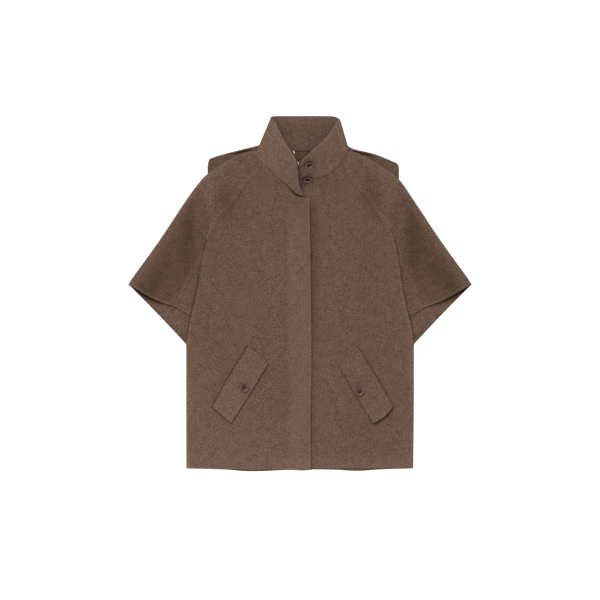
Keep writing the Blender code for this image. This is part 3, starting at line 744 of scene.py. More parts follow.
def lay_panel(name, panel, under, rims, nap, material, wall=CLOTH):
    """A flat-lying panel: a wall on its underside's height, thinned to its rims."""
    full, level = panel.fullness(rims)
    low = under + wall * level * (1 - full)
    high = under + wall * (level + (1 - level) * full)
    upper = np.dstack([panel.x, panel.y, high])
    lower = np.dstack([panel.x, panel.y, low])
    nap = np.broadcast_to(nap, panel.x.shape)
    step, rise = upper[0, -1] - upper[0, 0], upper[-1, 0] - upper[0, 0]
    if step[0] * rise[1] - step[1] * rise[0] < 0:
        upper, lower, nap = upper[:, ::-1], lower[:, ::-1], nap[:, ::-1]
    return two_faced(name, upper, lower, nap, material)


# How wide, how long and how large in area a cloth piece was before it was laid, in metres
Cut = namedtuple("Cut", "width length area")


def declare(piece, node, rests_on):
    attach(piece, "root")
    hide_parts(node)


BACK_CELL = 5.5
# painted shade on the back, a little darker all over
BACK_TONE = -0.05


def build_back(material):
    sides = [Curve(body_edge(side)[:UNDERARM], side_points(RAGLAN_BACK, side)[::-1]) for side in SIDES]
    panel = Panel(Curve(BACK_HEM), Curve(BACK_NECK), *sides, BACK_CELL)
    under = back_under(panel.x, panel.y)
    piece = lay_panel("back_cloth", panel, under, (HEM, CUT, ROLL_UP, ROLL_UP), BACK_TONE, material)
    declare(piece, "back_panel", ["storm_flap_cloth"])


STORM_GRID = 420  # as if that high, for a finer grid
STORM_SHOWN = (250, 290)  # what lies lower is covered
STORM_RISE = 1.6  # of its top edge, beside the neck
STORM_RISE_RIGHT = (-184, -148)
STORM_RISE_LEFT = (-196, -160)
STORM_RISE_BAND = (2.5, 6)  # in from that edge, as are the lip's, the slit's and the fades' bands
# Painted light on the top edge's lip, painted shade inside it, and painted shadow in the slit by the sleeve's
# edge
STORM_LIP = 0.36
STORM_INSIDE = Step(1.8, 3.4, -0.50)
STORM_SLIT = (((-168, -138), (-120, -106)), ((116, 130), (148, 186)))  # where it opens and closes
STORM_SLIT_BAND = (2.3, 3.2)
STORM_SLIT_FADES = (Step(5.8, 7.2, 0.85), Step(7.2, 11, 0.15))
STORM_SLIT_DARK = 0.95
STORM_END_HIGHLIGHT = Mark(114, 9, 0.3)  # a painted highlight where the edge meets the collar


def build_storm_flap(material):
    neck = [STORM_NECK[index:index + 2] for index in range(len(STORM_NECK) - 1)]
    head = Curve(STORM_TOP_RIGHT, *neck, STORM_TOP_LEFT)
    panel = Panel(Curve(STORM_FOOT), head, Curve(STORM_SIDE_RIGHT), Curve(STORM_SIDE_LEFT), height=STORM_GRID)
    tops = np.minimum(panel.gap_to(Curve(STORM_TOP_RIGHT)), panel.gap_to(Curve(STORM_TOP_LEFT)))
    near_neck = ramp(panel.x, STORM_RISE_RIGHT) * ramp(-panel.x, STORM_RISE_LEFT)
    shown = ramp(panel.y, STORM_SHOWN)
    under = STORM_RISE * near_neck * (1 - ramp(tops, STORM_RISE_BAND)) * shown
    slit_shadow = sum(window(panel.x, opens, closes) for opens, closes in STORM_SLIT) * ramp(tops, STORM_SLIT_BAND)
    slit_shadow = slit_shadow * (1 - steps(tops, *STORM_SLIT_FADES))
    nap = STORM_LIP + steps(tops, STORM_INSIDE) - STORM_SLIT_DARK * slit_shadow + mark(panel.x, STORM_END_HIGHLIGHT)
    piece = lay_panel("storm_flap_cloth", panel, under, (CUT, CUT, CUT, CUT), nap * shown, material)
    declare(piece, "storm_flap", ["floor"])


# A fine painted line of shade on an edge, how dark it is (below nought it is painted light instead) and how
# far it reaches, and the painted light lip inside it, how light it is, where it lies and how far it spreads
Line = namedtuple("Line", "dark reach light place spread", defaults=(0.0, 4.0, 2.4))
BODY_LINE = Line(0.82, 1.6, 0.20, 4.6, 2.8)
LAP_LINE = Line(0.90, 1.3)
TIP_LINE = Line(0.9, 2.6)  # painted shadow in the seam under the collar's right end
RAGLAN_LINE = Line(-0.14, 3.5, -0.13, 8.5, 3.5)  # on the front
RAGLAN_SLEEVE_LINE = Line(-0.12, 3.5, -0.06, 7.5, 2.6)
CUFF_LINE = Line(0.85, 1.5, 0.28, 3.6, 2.2)
WING_SEAM_LINE = Line(0.22, 1.5)
WING_CUFF_LINE = Line(0.50, 1.2, 0.14, 3.2, 2.2)
SLEEVE_NECK_LINE = {"right": Line(-0.40, 3.0), "left": Line(-0.15, 3.0)}


def edge_line(panel, edge, line):
    """A fine line of painted shade on an edge that turns down out of the light, and a lip of painted light
    inside it.
    """
    gap = panel.gap_to(edge)
    return line.light * swell(gap, line.place, line.spread) - line.dark * swell(gap, 0, line.reach)


def neck_rise(panel, neck):
    """How far a panel's neck edge stands up to the foot of the collar, less under the lapped end."""
    outside = np.maximum(ramp(-panel.x, NECK_RISE_RIGHT), ramp(panel.x, NECK_RISE_LEFT))
    return NECK_RISE * (1 - ramp(panel.gap_to(neck), NECK_RISE_BAND)) * outside


TIP_COMES = (-36, -14)
TIP_GOES = (4, 14)


def dark_tip(x):
    """Where along the neckline the collar's right end stands off the front, from 0 to 1."""
    return window(x, TIP_COMES, TIP_GOES)


# What differs between the two fronts: the outline's runs, the painted light on the body's edge, the painted
# line at the neck
Front = namedtuple("Front", "hem neck edge glow neck_line cut")
FRONTS = {
    "right": Front(FRONT_HEM_RIGHT, NECKLINE_RIGHT, FRONT_EDGE_RIGHT, (0.46, 6), Line(-0.22, 2.5),
                   Cut(0.290, 0.710, 0.172)),
    "left": Front(FRONT_HEM_LEFT, NECKLINE_LEFT, FRONT_EDGE_LEFT, (0.36, 6), Line(0.25, 2.5),
                  Cut(0.279, 0.712, 0.167)),
}
NECK_TONE = -0.02
BODY_TONE = Step(-250, 400, 0.07)  # painted light, added on the way down to the hem
BODY_LINE_UPPER = 0.55  # share of the line beside the shoulder, and what is added further down
BODY_LINE_MORE = Step(-60, 60, 0.45)
NECK_LINE_RIGHT = (34, 48)
NECK_LINE_LEFT = (30, 40)
# painted light along the hem
HEM_GLOW = (0.26, 26)
FLY_LIGHT = (Step(-210, -150, 0.143), Step(40, 350, 0.022))  # painted light on the lapped strip
FLY_IN = (-34, -20)
FLY_INNER = Mark(-34, 5, -0.07)  # painted shade along its inner edge, which shows through
LAP_LINE_RUN = (-219, -200)
LAP_SHADOW = Step(-236, -196, -0.30)  # beside the lapped edge, on the left front
LAP_SHADOW_OUT = (26, 50)
LAP_SHADOW_FADE = Step(60, 150, 0.6)


def lapped_edge(panel):
    """Painted light and shade of the right front's lapped strip, of its edge, and of the seam under the
    collar's end.
    """
    x, down = panel.x, -panel.y
    nap = steps(down, *FLY_LIGHT) * ramp(x, FLY_IN) + mark(x, FLY_INNER)
    nap = nap + edge_line(panel, panel.last, LAP_LINE) * ramp(down, LAP_LINE_RUN)
    return nap + dark_tip(x) * edge_line(panel, panel.head, TIP_LINE)


def lap_shadow(panel):
    down = -panel.y
    fade = 1 - steps(down, LAP_SHADOW_FADE)
    return steps(down, LAP_SHADOW) * (1 - ramp(panel.x, LAP_SHADOW_OUT)) * fade


def build_front(side, material):
    front = FRONTS[side]
    under_sleeve = body_edge(side)[:UNDERARM]
    over_sleeve = body_edge(side)[UNDERARM - 1:]
    raglan = side_points(RAGLAN, side)[::-1]
    outer = Curve(under_sleeve, over_sleeve, raglan)
    panel = Panel(Curve(front.hem), Curve(front.neck), outer, Curve(front.edge))
    x, down = panel.x, -panel.y
    under = front_under(side, x, panel.y) + neck_rise(panel, panel.head)
    body_line = BODY_LINE_UPPER + steps(down, BODY_LINE_MORE)
    neck_line = np.maximum(ramp(-x, NECK_LINE_RIGHT), ramp(x, NECK_LINE_LEFT))
    nap = sum([
        painted_patches(FRONT_PAINTED_PATCHES, x, panel.y),
        NECK_TONE + steps(down, BODY_TONE),
        glow(panel.gap_to(Curve(under_sleeve)), *front.glow),
        body_line * edge_line(panel, Curve(over_sleeve), BODY_LINE),
        edge_line(panel, Curve(raglan), RAGLAN_LINE),
        neck_line * edge_line(panel, panel.head, front.neck_line),
        glow(panel.gap_to(panel.foot), *HEM_GLOW),
        lapped_edge(panel) if side == "right" else lap_shadow(panel),
    ])
    rims = (HEM, CUT, [(Curve(body_edge(side)), ROLL), (Curve(raglan), SEAM)], LAP)
    piece = lay_panel("front_cloth_" + side, panel, under, rims, nap, material)
    declare(piece, "front_" + side, ["back_cloth", "sleeve_front_cloth_" + side])


CUFF_OPENS = (300, 350)  # out along the cuff, where the sleeve stands open
CUFF_SHADE = (0.22, 1.0)  # where it is closed and where it is open
CUFF_SHADE_REACH = (2.0, 7.0)
WING_SHADE = Mark(0, 2.5, 0.2)


def under_cuff(side, panel):
    """Shade inside the open sleeve, along the front cuff and deepest towards its outer corner."""
    share = ramp(np.abs(panel.x), CUFF_OPENS)
    shade, reach = (start + (end - start) * share for start, end in (CUFF_SHADE, CUFF_SHADE_REACH))
    front = shade * swell(panel.gap_to(seam(FRONT_CUFF, side)), 0, reach)
    return front + mark(panel.gap_to(seam(WING_CUFF, side)), WING_SHADE)


SLEEVE_CELL = 3.5
SLEEVE_PAINTED_SHADE = Step(-0.05, 0.24, -0.32)  # painted shade across from the raglan, standing in for nap brushed the other way
SLEEVE_DARK_FADE = Step(0.70, 1.0, 0.7)
SLEEVE_DARK_DOWN = (0.16, 0.62)
SLEEVE_CUFF_FADE = Step(0.8, 1.0, 0.25)
# painted light along the overarm's rolled edge
OVERARM_LIGHT = 0.10
OVERARM_MORE = (Step(135, 165, 0.08), Step(200, 250, 0.11))  # out from the middle
OVERARM_REACH = 9
BACK_SLEEVE_CELL = 4.5
# painted light and shade of the back sleeve: a little lighter, and darker low down
BACK_SLEEVE_TONE = 0.02
BACK_SLEEVE_DOWN = Step(84, 112, -0.20)


def build_sleeve_front(side, material):
    overarm = seam(OVERARM, side)
    neck_end = Curve([side_points(RAGLAN, side)[0], side_points(OVERARM, side)[0]])
    inner = seam(RAGLAN + RAGLAN_LOWER[1:], side)
    panel = Panel(neck_end, seam(FRONT_CUFF, side), inner, overarm, SLEEVE_CELL)
    across, down = np.broadcast_arrays(panel.u[None, :], panel.v[:, None])
    under = sleeve_under(panel.x, panel.y, across, down) + neck_rise(panel, panel.foot)
    dark = steps(across, SLEEVE_PAINTED_SHADE) * (1 - steps(across, SLEEVE_DARK_FADE))
    light = OVERARM_LIGHT + steps(np.abs(panel.x), *OVERARM_MORE)
    nap = sum([
        dark * ramp(down, SLEEVE_DARK_DOWN) * (1 - steps(down, SLEEVE_CUFF_FADE)),
        painted_patches(SLEEVE_PAINTED_PATCHES, panel.x, panel.y),
        glow(panel.gap_to(overarm), light, OVERARM_REACH),
        edge_line(panel, panel.head, CUFF_LINE),
        edge_line(panel, seam(RAGLAN, side), RAGLAN_SLEEVE_LINE),
        edge_line(panel, panel.foot, SLEEVE_NECK_LINE[side]),
        edge_line(panel, seam(RAGLAN_LOWER, side), WING_SEAM_LINE),
    ])
    rims = (CUT, CUFF, SEAM, ROLL)
    piece = lay_panel("sleeve_front_cloth_" + side, panel, under, rims, nap, material)
    declare(piece, "sleeve_front_" + side, ["sleeve_back_cloth_" + side])


def build_sleeve_back(side, material):
    neck_end = Curve([side_points(RAGLAN_BACK, side)[0], side_points(OVERARM, side)[0]])
    panel = Panel(neck_end, seam(BACK_CUFF, side), seam(RAGLAN_BACK, side), seam(OVERARM, side),
                  BACK_SLEEVE_CELL)
    nap = BACK_SLEEVE_TONE + steps(-panel.y, BACK_SLEEVE_DOWN)
    nap = nap - under_cuff(side, panel) + painted_patches(BACK_SLEEVE_PAINTED_PATCHES, panel.x, panel.y)
    under = back_under(panel.x, panel.y)
    rims = (CUT, HEM, ROLL_UP, ROLL_UP)
    piece = lay_panel("sleeve_back_cloth_" + side, panel, under, rims, nap, material)
    declare(piece, "sleeve_back_" + side, ["storm_flap_cloth"])


WING_TONE = -0.02
WING_UP = Step(0.0, 0.3, -0.10)  # painted shade under the body
BODY_SHADE = (-0.25, 4)  # beside the body's edge


def build_wing(side, material):
    inner = side_points(WING_INNER, side)
    lower = side_points(RAGLAN_LOWER, side)
    panel = Panel(seam(WING_CUFF, side), Curve([inner[-1], lower[0]]), Curve(inner), Curve(lower[::-1]),
                  SLEEVE_CELL)
    under = back_top(panel.x, panel.y) + SLEEVE_LAY
    nap = WING_TONE + steps(panel.v[:, None], WING_UP) + edge_line(panel, panel.foot, WING_CUFF_LINE)
    nap = nap + glow(panel.gap_to(Curve(body_edge(side))), *BODY_SHADE)
    piece = lay_panel("front_wing_cloth_" + side, panel, under, (CUFF, CUT, CUT, SEAM), nap, material)
    declare(piece, "front_wing_" + side, ["sleeve_back_cloth_" + side])


POCKET_CELL = 3.0
POCKET_DOWN = Step(-0.6, 0.0, 0.09)  # painted light, growing down to the open end
POCKET_HEAD_LINE = Line(-0.12, 2.4)
FOOT_LIP = (0.12, 5.0, 2.6)  # the painted light lips: strength, place and spread
INNER_LIP = (0.06, 4.0, 2.4)
NO_LIP = (0.0, 4.0, 2.4)
FOOT_CHANGE = (0.55, 1.0)  # where along an edge its line widens and fades
INNER_CHANGE = (0.5, 0.9)
OUTER_CHANGE = (0.3, 0.8)


def traced(panel, edge, trace, change, lip):
    """An edge's painted shade line that widens and fades over a change from 0 to 1."""
    line = Line(trace.dark, trace.width + trace.widens * change, *lip)
    return (1 - trace.fades * change) * edge_line(panel, edge, line)


def build_pocket(pocket, material, button_kit):
    corners = [np.array(corner, float) for corner in pocket.corners]
    inner_top, outer_top, outer_low, inner_low = corners
    middle = sum(corners) / 4

    def bowed(start, end, bow):
        """An edge that curves out from the flap's middle."""
        across = np.array([end[1] - start[1], start[0] - end[0]]) / np.linalg.norm(end - start)
        half = (start + end) / 2
        return Curve([start, half + across * bow * np.sign(across @ (half - middle)), end])

    low_bow, inner_bow, outer_bow = pocket.bows
    panel = Panel(bowed(inner_low, outer_low, low_bow), Curve([inner_top, outer_top]),
                  bowed(inner_low, inner_top, inner_bow), bowed(outer_low, outer_top, outer_bow), POCKET_CELL)
    run = inner_top - inner_low

    def under(x, y):
        share = ((x - inner_low[0]) * run[0] + (y - inner_low[1]) * run[1]) / (run @ run)
        curl = pocket.curl * (1 - np.minimum(1.0, np.maximum(0.0, share) / CURL_SHARE)) ** 2
        return front_top(pocket.side, x, y) + POCKET_LAY + curl

    out, up = panel.u[None, :], panel.v[:, None]
    nap = sum([
        pocket.tone + steps(-up, POCKET_DOWN),
        traced(panel, panel.foot, pocket.foot, ramp(out, FOOT_CHANGE), FOOT_LIP),
        traced(panel, panel.first, pocket.inner, ramp(up, INNER_CHANGE), INNER_LIP),
        traced(panel, panel.last, pocket.outer, ramp(up, OUTER_CHANGE), NO_LIP),
        edge_line(panel, panel.head, POCKET_HEAD_LINE),
    ])
    heights = under(panel.x, panel.y)
    rims = (FLAP, FLAP_HEAD, FLAP, FLAP)
    piece = lay_panel("pocket_flap_cloth_" + pocket.side, panel, heights, rims, nap, material, POCKET_WALL)
    declare(piece, "pocket_flap_" + pocket.side, ["front_cloth_" + pocket.side])
    top = float(under(*np.array(pocket.button))) + POCKET_WALL + BUTTON_STANDOFF
    place_button(button_kit, "pocket_button_" + pocket.side, Vector((*pocket.button, top)), Vector((0, 0, 1)))


# ---- Collar ----

def line_at(knots, places):
    """Points on the smooth curve through knots, where whole numbers are the knots themselves."""
    ends = np.concatenate([[2 * knots[0] - knots[1]], knots, [2 * knots[-1] - knots[-2]]])
    index = np.minimum(places.astype(int), len(knots) - 2)
    share = (places - index)[:, None]
    return spline(ends[index], ends[index + 1], ends[index + 2], ends[index + 3], share)


def collar_points(along, up):
    """The middle of the collar wall at each pair of an along array and an up array, as rows of up."""
    ribs = np.array(COLLAR, float)
    foot, top = line_at(ribs[:, :3], along), line_at(ribs[:, 3:], along)
    points = foot[None] * (1 - up[:, None, None]) + top[None] * up[:, None, None]
    points[..., 0] -= TIP_BOW * np.sin(math.pi * up)[:, None] * (1 - ramp(along, (0, TIP_SECTIONS)))[None]
    points[..., 2] = np.maximum(points[..., 2], COLLAR_WALL / 2)
    return points


SPOT_STEP = 0.05  # of a section, to measure the wall's slope


def collar_frame(along, up):
    """A point on the middle of the collar wall, and the direction straight out of it."""
    places = np.array([along - SPOT_STEP, along, along + SPOT_STEP])
    grid = collar_points(places, np.array([0.0, up, 1.0]))
    ahead = Vector(grid[1, 2] - grid[1, 0])
    rise = Vector(grid[2, 1] - grid[0, 1])
    return Vector(grid[1, 1]), rise.cross(ahead).normalized()


# Marks on the collar: how far along and up it, their half sizes and their height out of the wall
Dent = namedtuple("Dent", "along up half_along half_up height")
COLLAR_DENTS = [
    Dent(16.6, 0.55, 0.5, 0.30, -1.6),
    Dent(17.6, 0.50, 0.6, 0.35, 0.9),
    Dent(6.5, 0.45, 1.3, 0.30, 0.8),
    Dent(8.6, 0.70, 0.5, 0.35, -0.7),
    Dent(19.3, 0.35, 0.9, 0.25, -0.7),
    Dent(3.4, 0.70, 0.7, 0.25, -0.6),
    Dent(12.2, 0.65, 1.4, 0.25, 0.6),
    Dent(14.3, 0.80, 0.5, 0.25, -0.8),
    Dent(10.6, 0.80, 0.5, 0.25, -0.6),
]

# Painted light and shade on the collar's outer face: the sections over which each comes and goes, how far up
# from the seam it reaches, and its strength
Shade = namedtuple("Shade", "comes goes reach tone")
AT_START = (-1, 0)  # before the first section
AT_END = (24, 25)  # after the last one
COLLAR_SHADES = [
    Shade(AT_START, (8.3, 9.4), math.inf, 0.20),
    Shade((14.5, 16), AT_END, math.inf, 0.20),
    Shade((21.8, 22.5), AT_END, math.inf, -0.55),
    Shade((14, 15), AT_END, 1.5, -0.25),
    Shade((6.2, 7.4), (9.4, 10), 3, 0.22),
]
CREASE_SHADES = [(Mark(16.9, 0.40, -0.16), (0.7, 1.0)), (Mark(15.2, 0.5, -0.17), (0.6, 1.0))]  # painted shade along creases, and where they end
# painted light along the top edge and along the sewn foot
TOP_GLOW = (0.08, 4)
FOOT_LIGHT = Mark(0, 3, 0.14)
TIP_SHADE = Mark(0, 1.6, -0.9)  # under the right end, up to these sections
TIP_ENDS = (5, 6)

# Painted light and shade on its inner face, by share of the height, by section, or by distance from the top
INSIDE_DOWN = Step(-0.75, -0.1, 0.22)
INSIDE_ALONG = (Step(14.4, 16.5, 0.10), Step(7.5, 9.6, -0.05))
INSIDE_GLOW = (0.35, 9)
FOLD_LINE = Mark(0.573, 0.012, -0.16)
FOLD_LINE_RUN = ((10.9, 11.4), (12.4, 12.9))
# painted shade in a hollow; its last value is a tone, not a height
HOLLOW_SHADE = Dent(12.4, 0.35, 0.8, 0.22, -0.07)

# Grid and thickness of its wall
END_LINES = (0.02, 0.06, 0.125, 0.25)  # sections in from each end
RIM_HEIGHTS = (0.3, 0.9, 1.8, 3.0)  # up from the seam and down from the top
COLLAR_HEIGHT = 80
COLLAR_RIM = 2.2
SEWN_RUNS = (((3.6, 6), (9.2, 10)), ((14, 15), (21.6, 22.8)))
FOOT_HEIGHT = (0, 8)
LAP_MORE = Mark(7.4, 0.8, 0.9)  # how much further the foot reaches out at one section


def run_lengths(points, axis):
    """How far each point of a grid is from its first row or column, measured along the grid."""
    lengths = np.linalg.norm(np.diff(points, axis=axis), axis=2)
    zero = np.zeros_like(lengths[:1] if axis == 0 else lengths[:, :1])
    return np.concatenate([zero, np.cumsum(lengths, axis=axis)], axis=axis)


def edge_share(places, last):
    """How full the collar's wall is, from 0 on both edges to 1 inside them."""
    near = np.clip(np.minimum(places, last - places) / COLLAR_RIM, 0, 1)
    return np.sqrt(1 - (1 - near) ** 2)


def dent_shape(dent, along, up):
    return dent.height * swell(along, dent.along, dent.half_along) * swell(up, dent.up, dent.half_up)


def collar_tones(side, height, climb, sewn, x):
    """Painted light and shade of the outer and of the inner face."""
    from_top = climb[-1:] - climb
    shades = [shade.tone * window(side, shade.comes, shade.goes) * swell(climb, 0, shade.reach)
              for shade in COLLAR_SHADES]
    creases = [mark(side, crease) * (1 - ramp(height, ends)) for crease, ends in CREASE_SHADES]
    tip = mark(climb, TIP_SHADE) * dark_tip(x) * (1 - ramp(side, TIP_ENDS))
    outer = sum(shades + creases) + glow(from_top, *TOP_GLOW) + mark(climb, FOOT_LIGHT) * sewn + tip
    inner = steps(-height, INSIDE_DOWN) + steps(side, *INSIDE_ALONG) + glow(from_top, *INSIDE_GLOW)
    inner = inner + mark(height, FOLD_LINE) * window(side, *FOLD_LINE_RUN)
    return outer, inner + dent_shape(HOLLOW_SHADE, side, height)


def build_collar(material):
    last = len(COLLAR) - 1
    ends = np.array(END_LINES)
    along = np.unique(np.concatenate([np.linspace(0, last, last * COLLAR_COLUMNS + 1), ends, last - ends]))
    rims = np.array(RIM_HEIGHTS) / COLLAR_HEIGHT
    up = np.unique(np.concatenate([np.linspace(0, 1, COLLAR_LEVELS + 1), rims, 1 - rims]))
    middle = collar_points(along, up)
    out = np.cross(np.gradient(middle, axis=0), np.gradient(middle, axis=1))
    out /= np.linalg.norm(out, axis=2, keepdims=True)
    for dent in COLLAR_DENTS:
        middle = middle + out * dent_shape(dent, along[None], up[:, None])[..., None]
    climb, walk = run_lengths(middle, 0), run_lengths(middle, 1)
    full = edge_share(climb, climb[-1:]) * edge_share(walk, walk[:, -1:])
    sewn = sum(window(along, comes, goes) for comes, goes in SEWN_RUNS)[None]
    slope = np.sin(math.pi / 2 * np.clip(climb / COLLAR_FOOT, 0, 1))
    gentle = np.minimum(full, 1 - sewn * (1 - slope))
    foot = sewn * (1 - ramp(climb, FOOT_HEIGHT))
    middle[..., 2] -= FOOT_DROP * foot
    outwards = out[..., :2] / np.maximum(np.linalg.norm(out[..., :2], axis=2, keepdims=True), 1e-6)
    lap = FOOT_LAP * (1 + mark(along, LAP_MORE))
    middle[..., :2] += outwards * (lap[None] * foot)[..., None]
    outer = middle + out * (gentle * COLLAR_WALL / 2)[..., None]
    inner = middle - out * (full * COLLAR_WALL / 2)[..., None]
    for face in (outer, inner):
        face[..., 2] = np.maximum(face[..., 2], 0.0)
    side = np.broadcast_to(along[None], full.shape)
    height = np.broadcast_to(up[:, None], full.shape)
    nap, inside = collar_tones(side, height, climb, sewn, middle[..., 0])
    outer, inner, nap, inside = (grid[:, ::-1] for grid in (outer, inner, nap, inside))
    piece = two_faced("collar_cloth", outer, inner, nap, material, inside)
    declare(piece, "stand_collar", ["front_cloth_right", "front_cloth_left"])


# ---- Buttons and press studs ----

SIDEWAYS = 0.5  # a side face's direction rises less than this
UPWARDS = 0.9  # and a top face's more than this
FACING = 0.3  # and that of what shows from above more than this


def deselect_all():
    bpy.ops.object.select_all(action="DESELECT")


def choose_faces(piece, wanted):
    """In edit mode, selects the faces whose direction the test likes."""
    bpy.ops.object.mode_set(mode="EDIT")
    bpy.ops.mesh.select_mode(type="FACE")
    bpy.ops.mesh.select_all(action="DESELECT")
    bpy.ops.object.mode_set(mode="OBJECT")
    for face in piece.data.polygons:
        face.select = wanted(face.normal)
    bpy.ops.object.mode_set(mode="EDIT")


def inset_and_move(thickness, rise):
    bpy.ops.mesh.inset(thickness=thickness * MM, depth=0)
    bpy.ops.transform.translate(value=(0, 0, rise * MM))


def add_cylinder(vertices, radius, depth, place=(0, 0, 0), tip=0):
    """A new cylinder, the only thing selected, tipped over by degrees."""
    deselect_all()
    bpy.ops.mesh.primitive_cylinder_add(vertices=vertices, radius=radius * MM, depth=depth * MM,
                                        location=[part * MM for part in place],
                                        rotation=(0, math.radians(tip), 0))
    return bpy.context.object


def apply_place():
    bpy.ops.object.transform_apply(location=True, rotation=True, scale=True)


def round_edges(piece, width, sharper, smooth):
    """Bevels the edges that are sharper than an angle, and smooths the shading up to another."""
    rounding = piece.modifiers.new("Rounding", "BEVEL")
    rounding.width = width * MM
    rounding.segments = 3
    rounding.limit_method = "ANGLE"
    rounding.angle_limit = math.radians(sharper)
    bpy.ops.object.modifier_apply(modifier="Rounding")
    bpy.ops.object.shade_smooth_by_angle(angle=math.radians(smooth))


RIM_SHARE = 0.14  # of the button's radius, added as its rim
RIM_INSET = 0.9
DISH = ((0.9, 0.0), (1.1, -0.55), (1.2, -0.55), (1.6, -0.35), (2.4, -0.05))  # insets, and how each moves
HOLES = 4
HOLE_RADIUS = 0.95
HOLE_OUT = 2.1  # from the button's middle
HOLE_DEPTH = 12.0
STRANDS = ((45, 0.55), (135, 0.25))  # the thread's turn, and how far it stands up in the middle
STRAND_RADIUS = 0.42
STRAND_HALF = 2.6
STRAND_HEIGHT = 2.75
STRAND_DIVE = 0.7  # how far its ends dip into the holes
STRAND_CUTS = (-1.6, 1.6, 0.0)


def bore_holes(button):
    cutters = []
    for turn in range(HOLES):
        angle = math.radians(45 + 360 / HOLES * turn)
        place = (HOLE_OUT * math.cos(angle), HOLE_OUT * math.sin(angle), 0)
        cutters.append(add_cylinder(20, HOLE_RADIUS, HOLE_DEPTH, place))
    for cutter in cutters:
        hole = button.modifiers.new("Hole", "BOOLEAN")
        hole.operation, hole.solver, hole.object = "DIFFERENCE", "EXACT", cutter
    deselect_all()
    button.select_set(True)
    bpy.context.view_layer.objects.active = button
    for hole in list(button.modifiers):
        bpy.ops.object.modifier_apply(modifier=hole.name)
    for cutter in cutters:
        bpy.data.objects.remove(cutter, do_unlink=True)


def give_finishes(button, finishes, look):
    """Gives the button its finishes: the stock, the dark middle, and the painted highlight on the ring's
    lower and upper half, on faces that show from above.
    """
    for finish in finishes:
        button.data.materials.append(finish)
    for face in button.data.polygons:
        radius = face.center.xy.length / MM
        upper = face.center.y > 0
        if radius < look.bowl:
            face.material_index = 1
        elif face.normal.z > FACING and look.ring_in < radius < (look.top_out if upper else look.low_out):
            face.material_index = 3 if upper else 2


def model_strand(turn, lift, finish):
    strand = add_cylinder(12, STRAND_RADIUS, 2 * STRAND_HALF, tip=90)
    apply_place()
    bpy.ops.object.mode_set(mode="EDIT")
    for cut in STRAND_CUTS:
        bpy.ops.mesh.select_all(action="SELECT")
        bpy.ops.mesh.bisect(plane_co=(cut * MM, 0, 0), plane_no=(1, 0, 0))
    bpy.ops.object.mode_set(mode="OBJECT")
    for vertex in strand.data.vertices:
        share = min(1.0, abs(vertex.co.x) / (STRAND_HALF * MM))
        vertex.co.z += (STRAND_HEIGHT + lift * (1 - share ** 2) - STRAND_DIVE * share ** 4) * MM
    strand.data.transform(Matrix.Rotation(math.radians(turn), 4, "Z"))
    bpy.ops.object.shade_smooth()
    strand.data.materials.append(finish)
    return strand


def model_button(finishes, thread_finish, look):
    """One four-hole button on its underside's middle, with its sewing thread."""
    blank = BUTTON_RADIUS * (1 - RIM_SHARE)
    button = add_cylinder(64, blank, BUTTON_HEIGHT, place=(0, 0, BUTTON_HEIGHT / 2))
    apply_place()
    choose_faces(button, lambda normal: abs(normal.z) < SIDEWAYS)
    bpy.ops.mesh.inset(thickness=RIM_INSET * MM, depth=BUTTON_RADIUS * RIM_SHARE * MM)
    choose_faces(button, lambda normal: normal.z > UPWARDS)
    for thickness, rise in DISH:
        inset_and_move(thickness, rise)
    bpy.ops.object.mode_set(mode="OBJECT")
    bore_holes(button)
    round_edges(button, width=0.35, sharper=24, smooth=35)
    give_finishes(button, finishes, look)
    strands = [model_strand(turn, lift, thread_finish) for turn, lift in STRANDS]
    deselect_all()
    for strand in strands:
        strand.select_set(True)
    bpy.context.view_layer.objects.active = strands[0]
    bpy.ops.object.join()
    return button, strands[0]


def stand_on(piece, base, normal, turn=0.0):
    """Puts a piece made at the origin on a point, along a direction, with its place in its mesh."""
    place = Vector((0, 0, 1)).rotation_difference(normal).to_matrix().to_4x4()
    piece.data.transform(Matrix.Translation(base * MM) @ place @ Matrix.Rotation(math.radians(turn), 4, "Z"))


def copy_of(piece, name):
    twin = piece.copy()
    twin.data = piece.data.copy()
    twin.name = twin.data.name = name
    bpy.context.scene.collection.objects.link(twin)
    return twin


BUTTON_TURNS = {"pocket_button_right": 12, "pocket_button_left": -20,
                "collar_button_upper": 30, "collar_button_lower": 8}


def place_button(kit, node, base, normal):
    button, strand = (copy_of(piece, node + ending) for piece, ending in zip(kit, ("_disc", "_thread")))
    for piece in (button, strand):
        stand_on(piece, base, normal, BUTTON_TURNS[node])
        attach(piece, "root")
    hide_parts(node)


def build_collar_buttons(kit):
    for spot in COLLAR_BUTTONS:
        point, outward = collar_frame(spot.along, spot.up)
        base = point + outward * (COLLAR_WALL / 2 + BUTTON_SHANK)
        facing = Matrix.Rotation(math.radians(spot.turn), 3, "Z") @ outward
        hinge = Vector((0, 0, 1)).cross(facing)
        facing = Matrix.Rotation(math.radians(spot.tip), 3, hinge) @ facing
        place_button(kit, "collar_button_" + spot.name, base, facing)


FLANGE = 0.5  # of the stud's height
STUD_RINGS = ((0.7, 0.0), (0.25, 0.9), (0.6, 0.0), (0.25, -1.0), (0.5, 0.0))  # insets, and how each moves


def model_stud(finish):
    """A press-stud half: a flanged disc with a rolled ring and a sunk middle."""
    depth = FLANGE * STUD_HEIGHT
    stud = add_cylinder(40, STUD_RADIUS, depth, place=(0, 0, depth / 2))
    choose_faces(stud, lambda normal: normal.z > UPWARDS)
    for thickness, rise in STUD_RINGS:
        inset_and_move(thickness, rise)
    bpy.ops.object.mode_set(mode="OBJECT")
    round_edges(stud, width=0.22, sharper=30, smooth=40)
    stud.data.materials.append(finish)
    apply_place()
    return stud


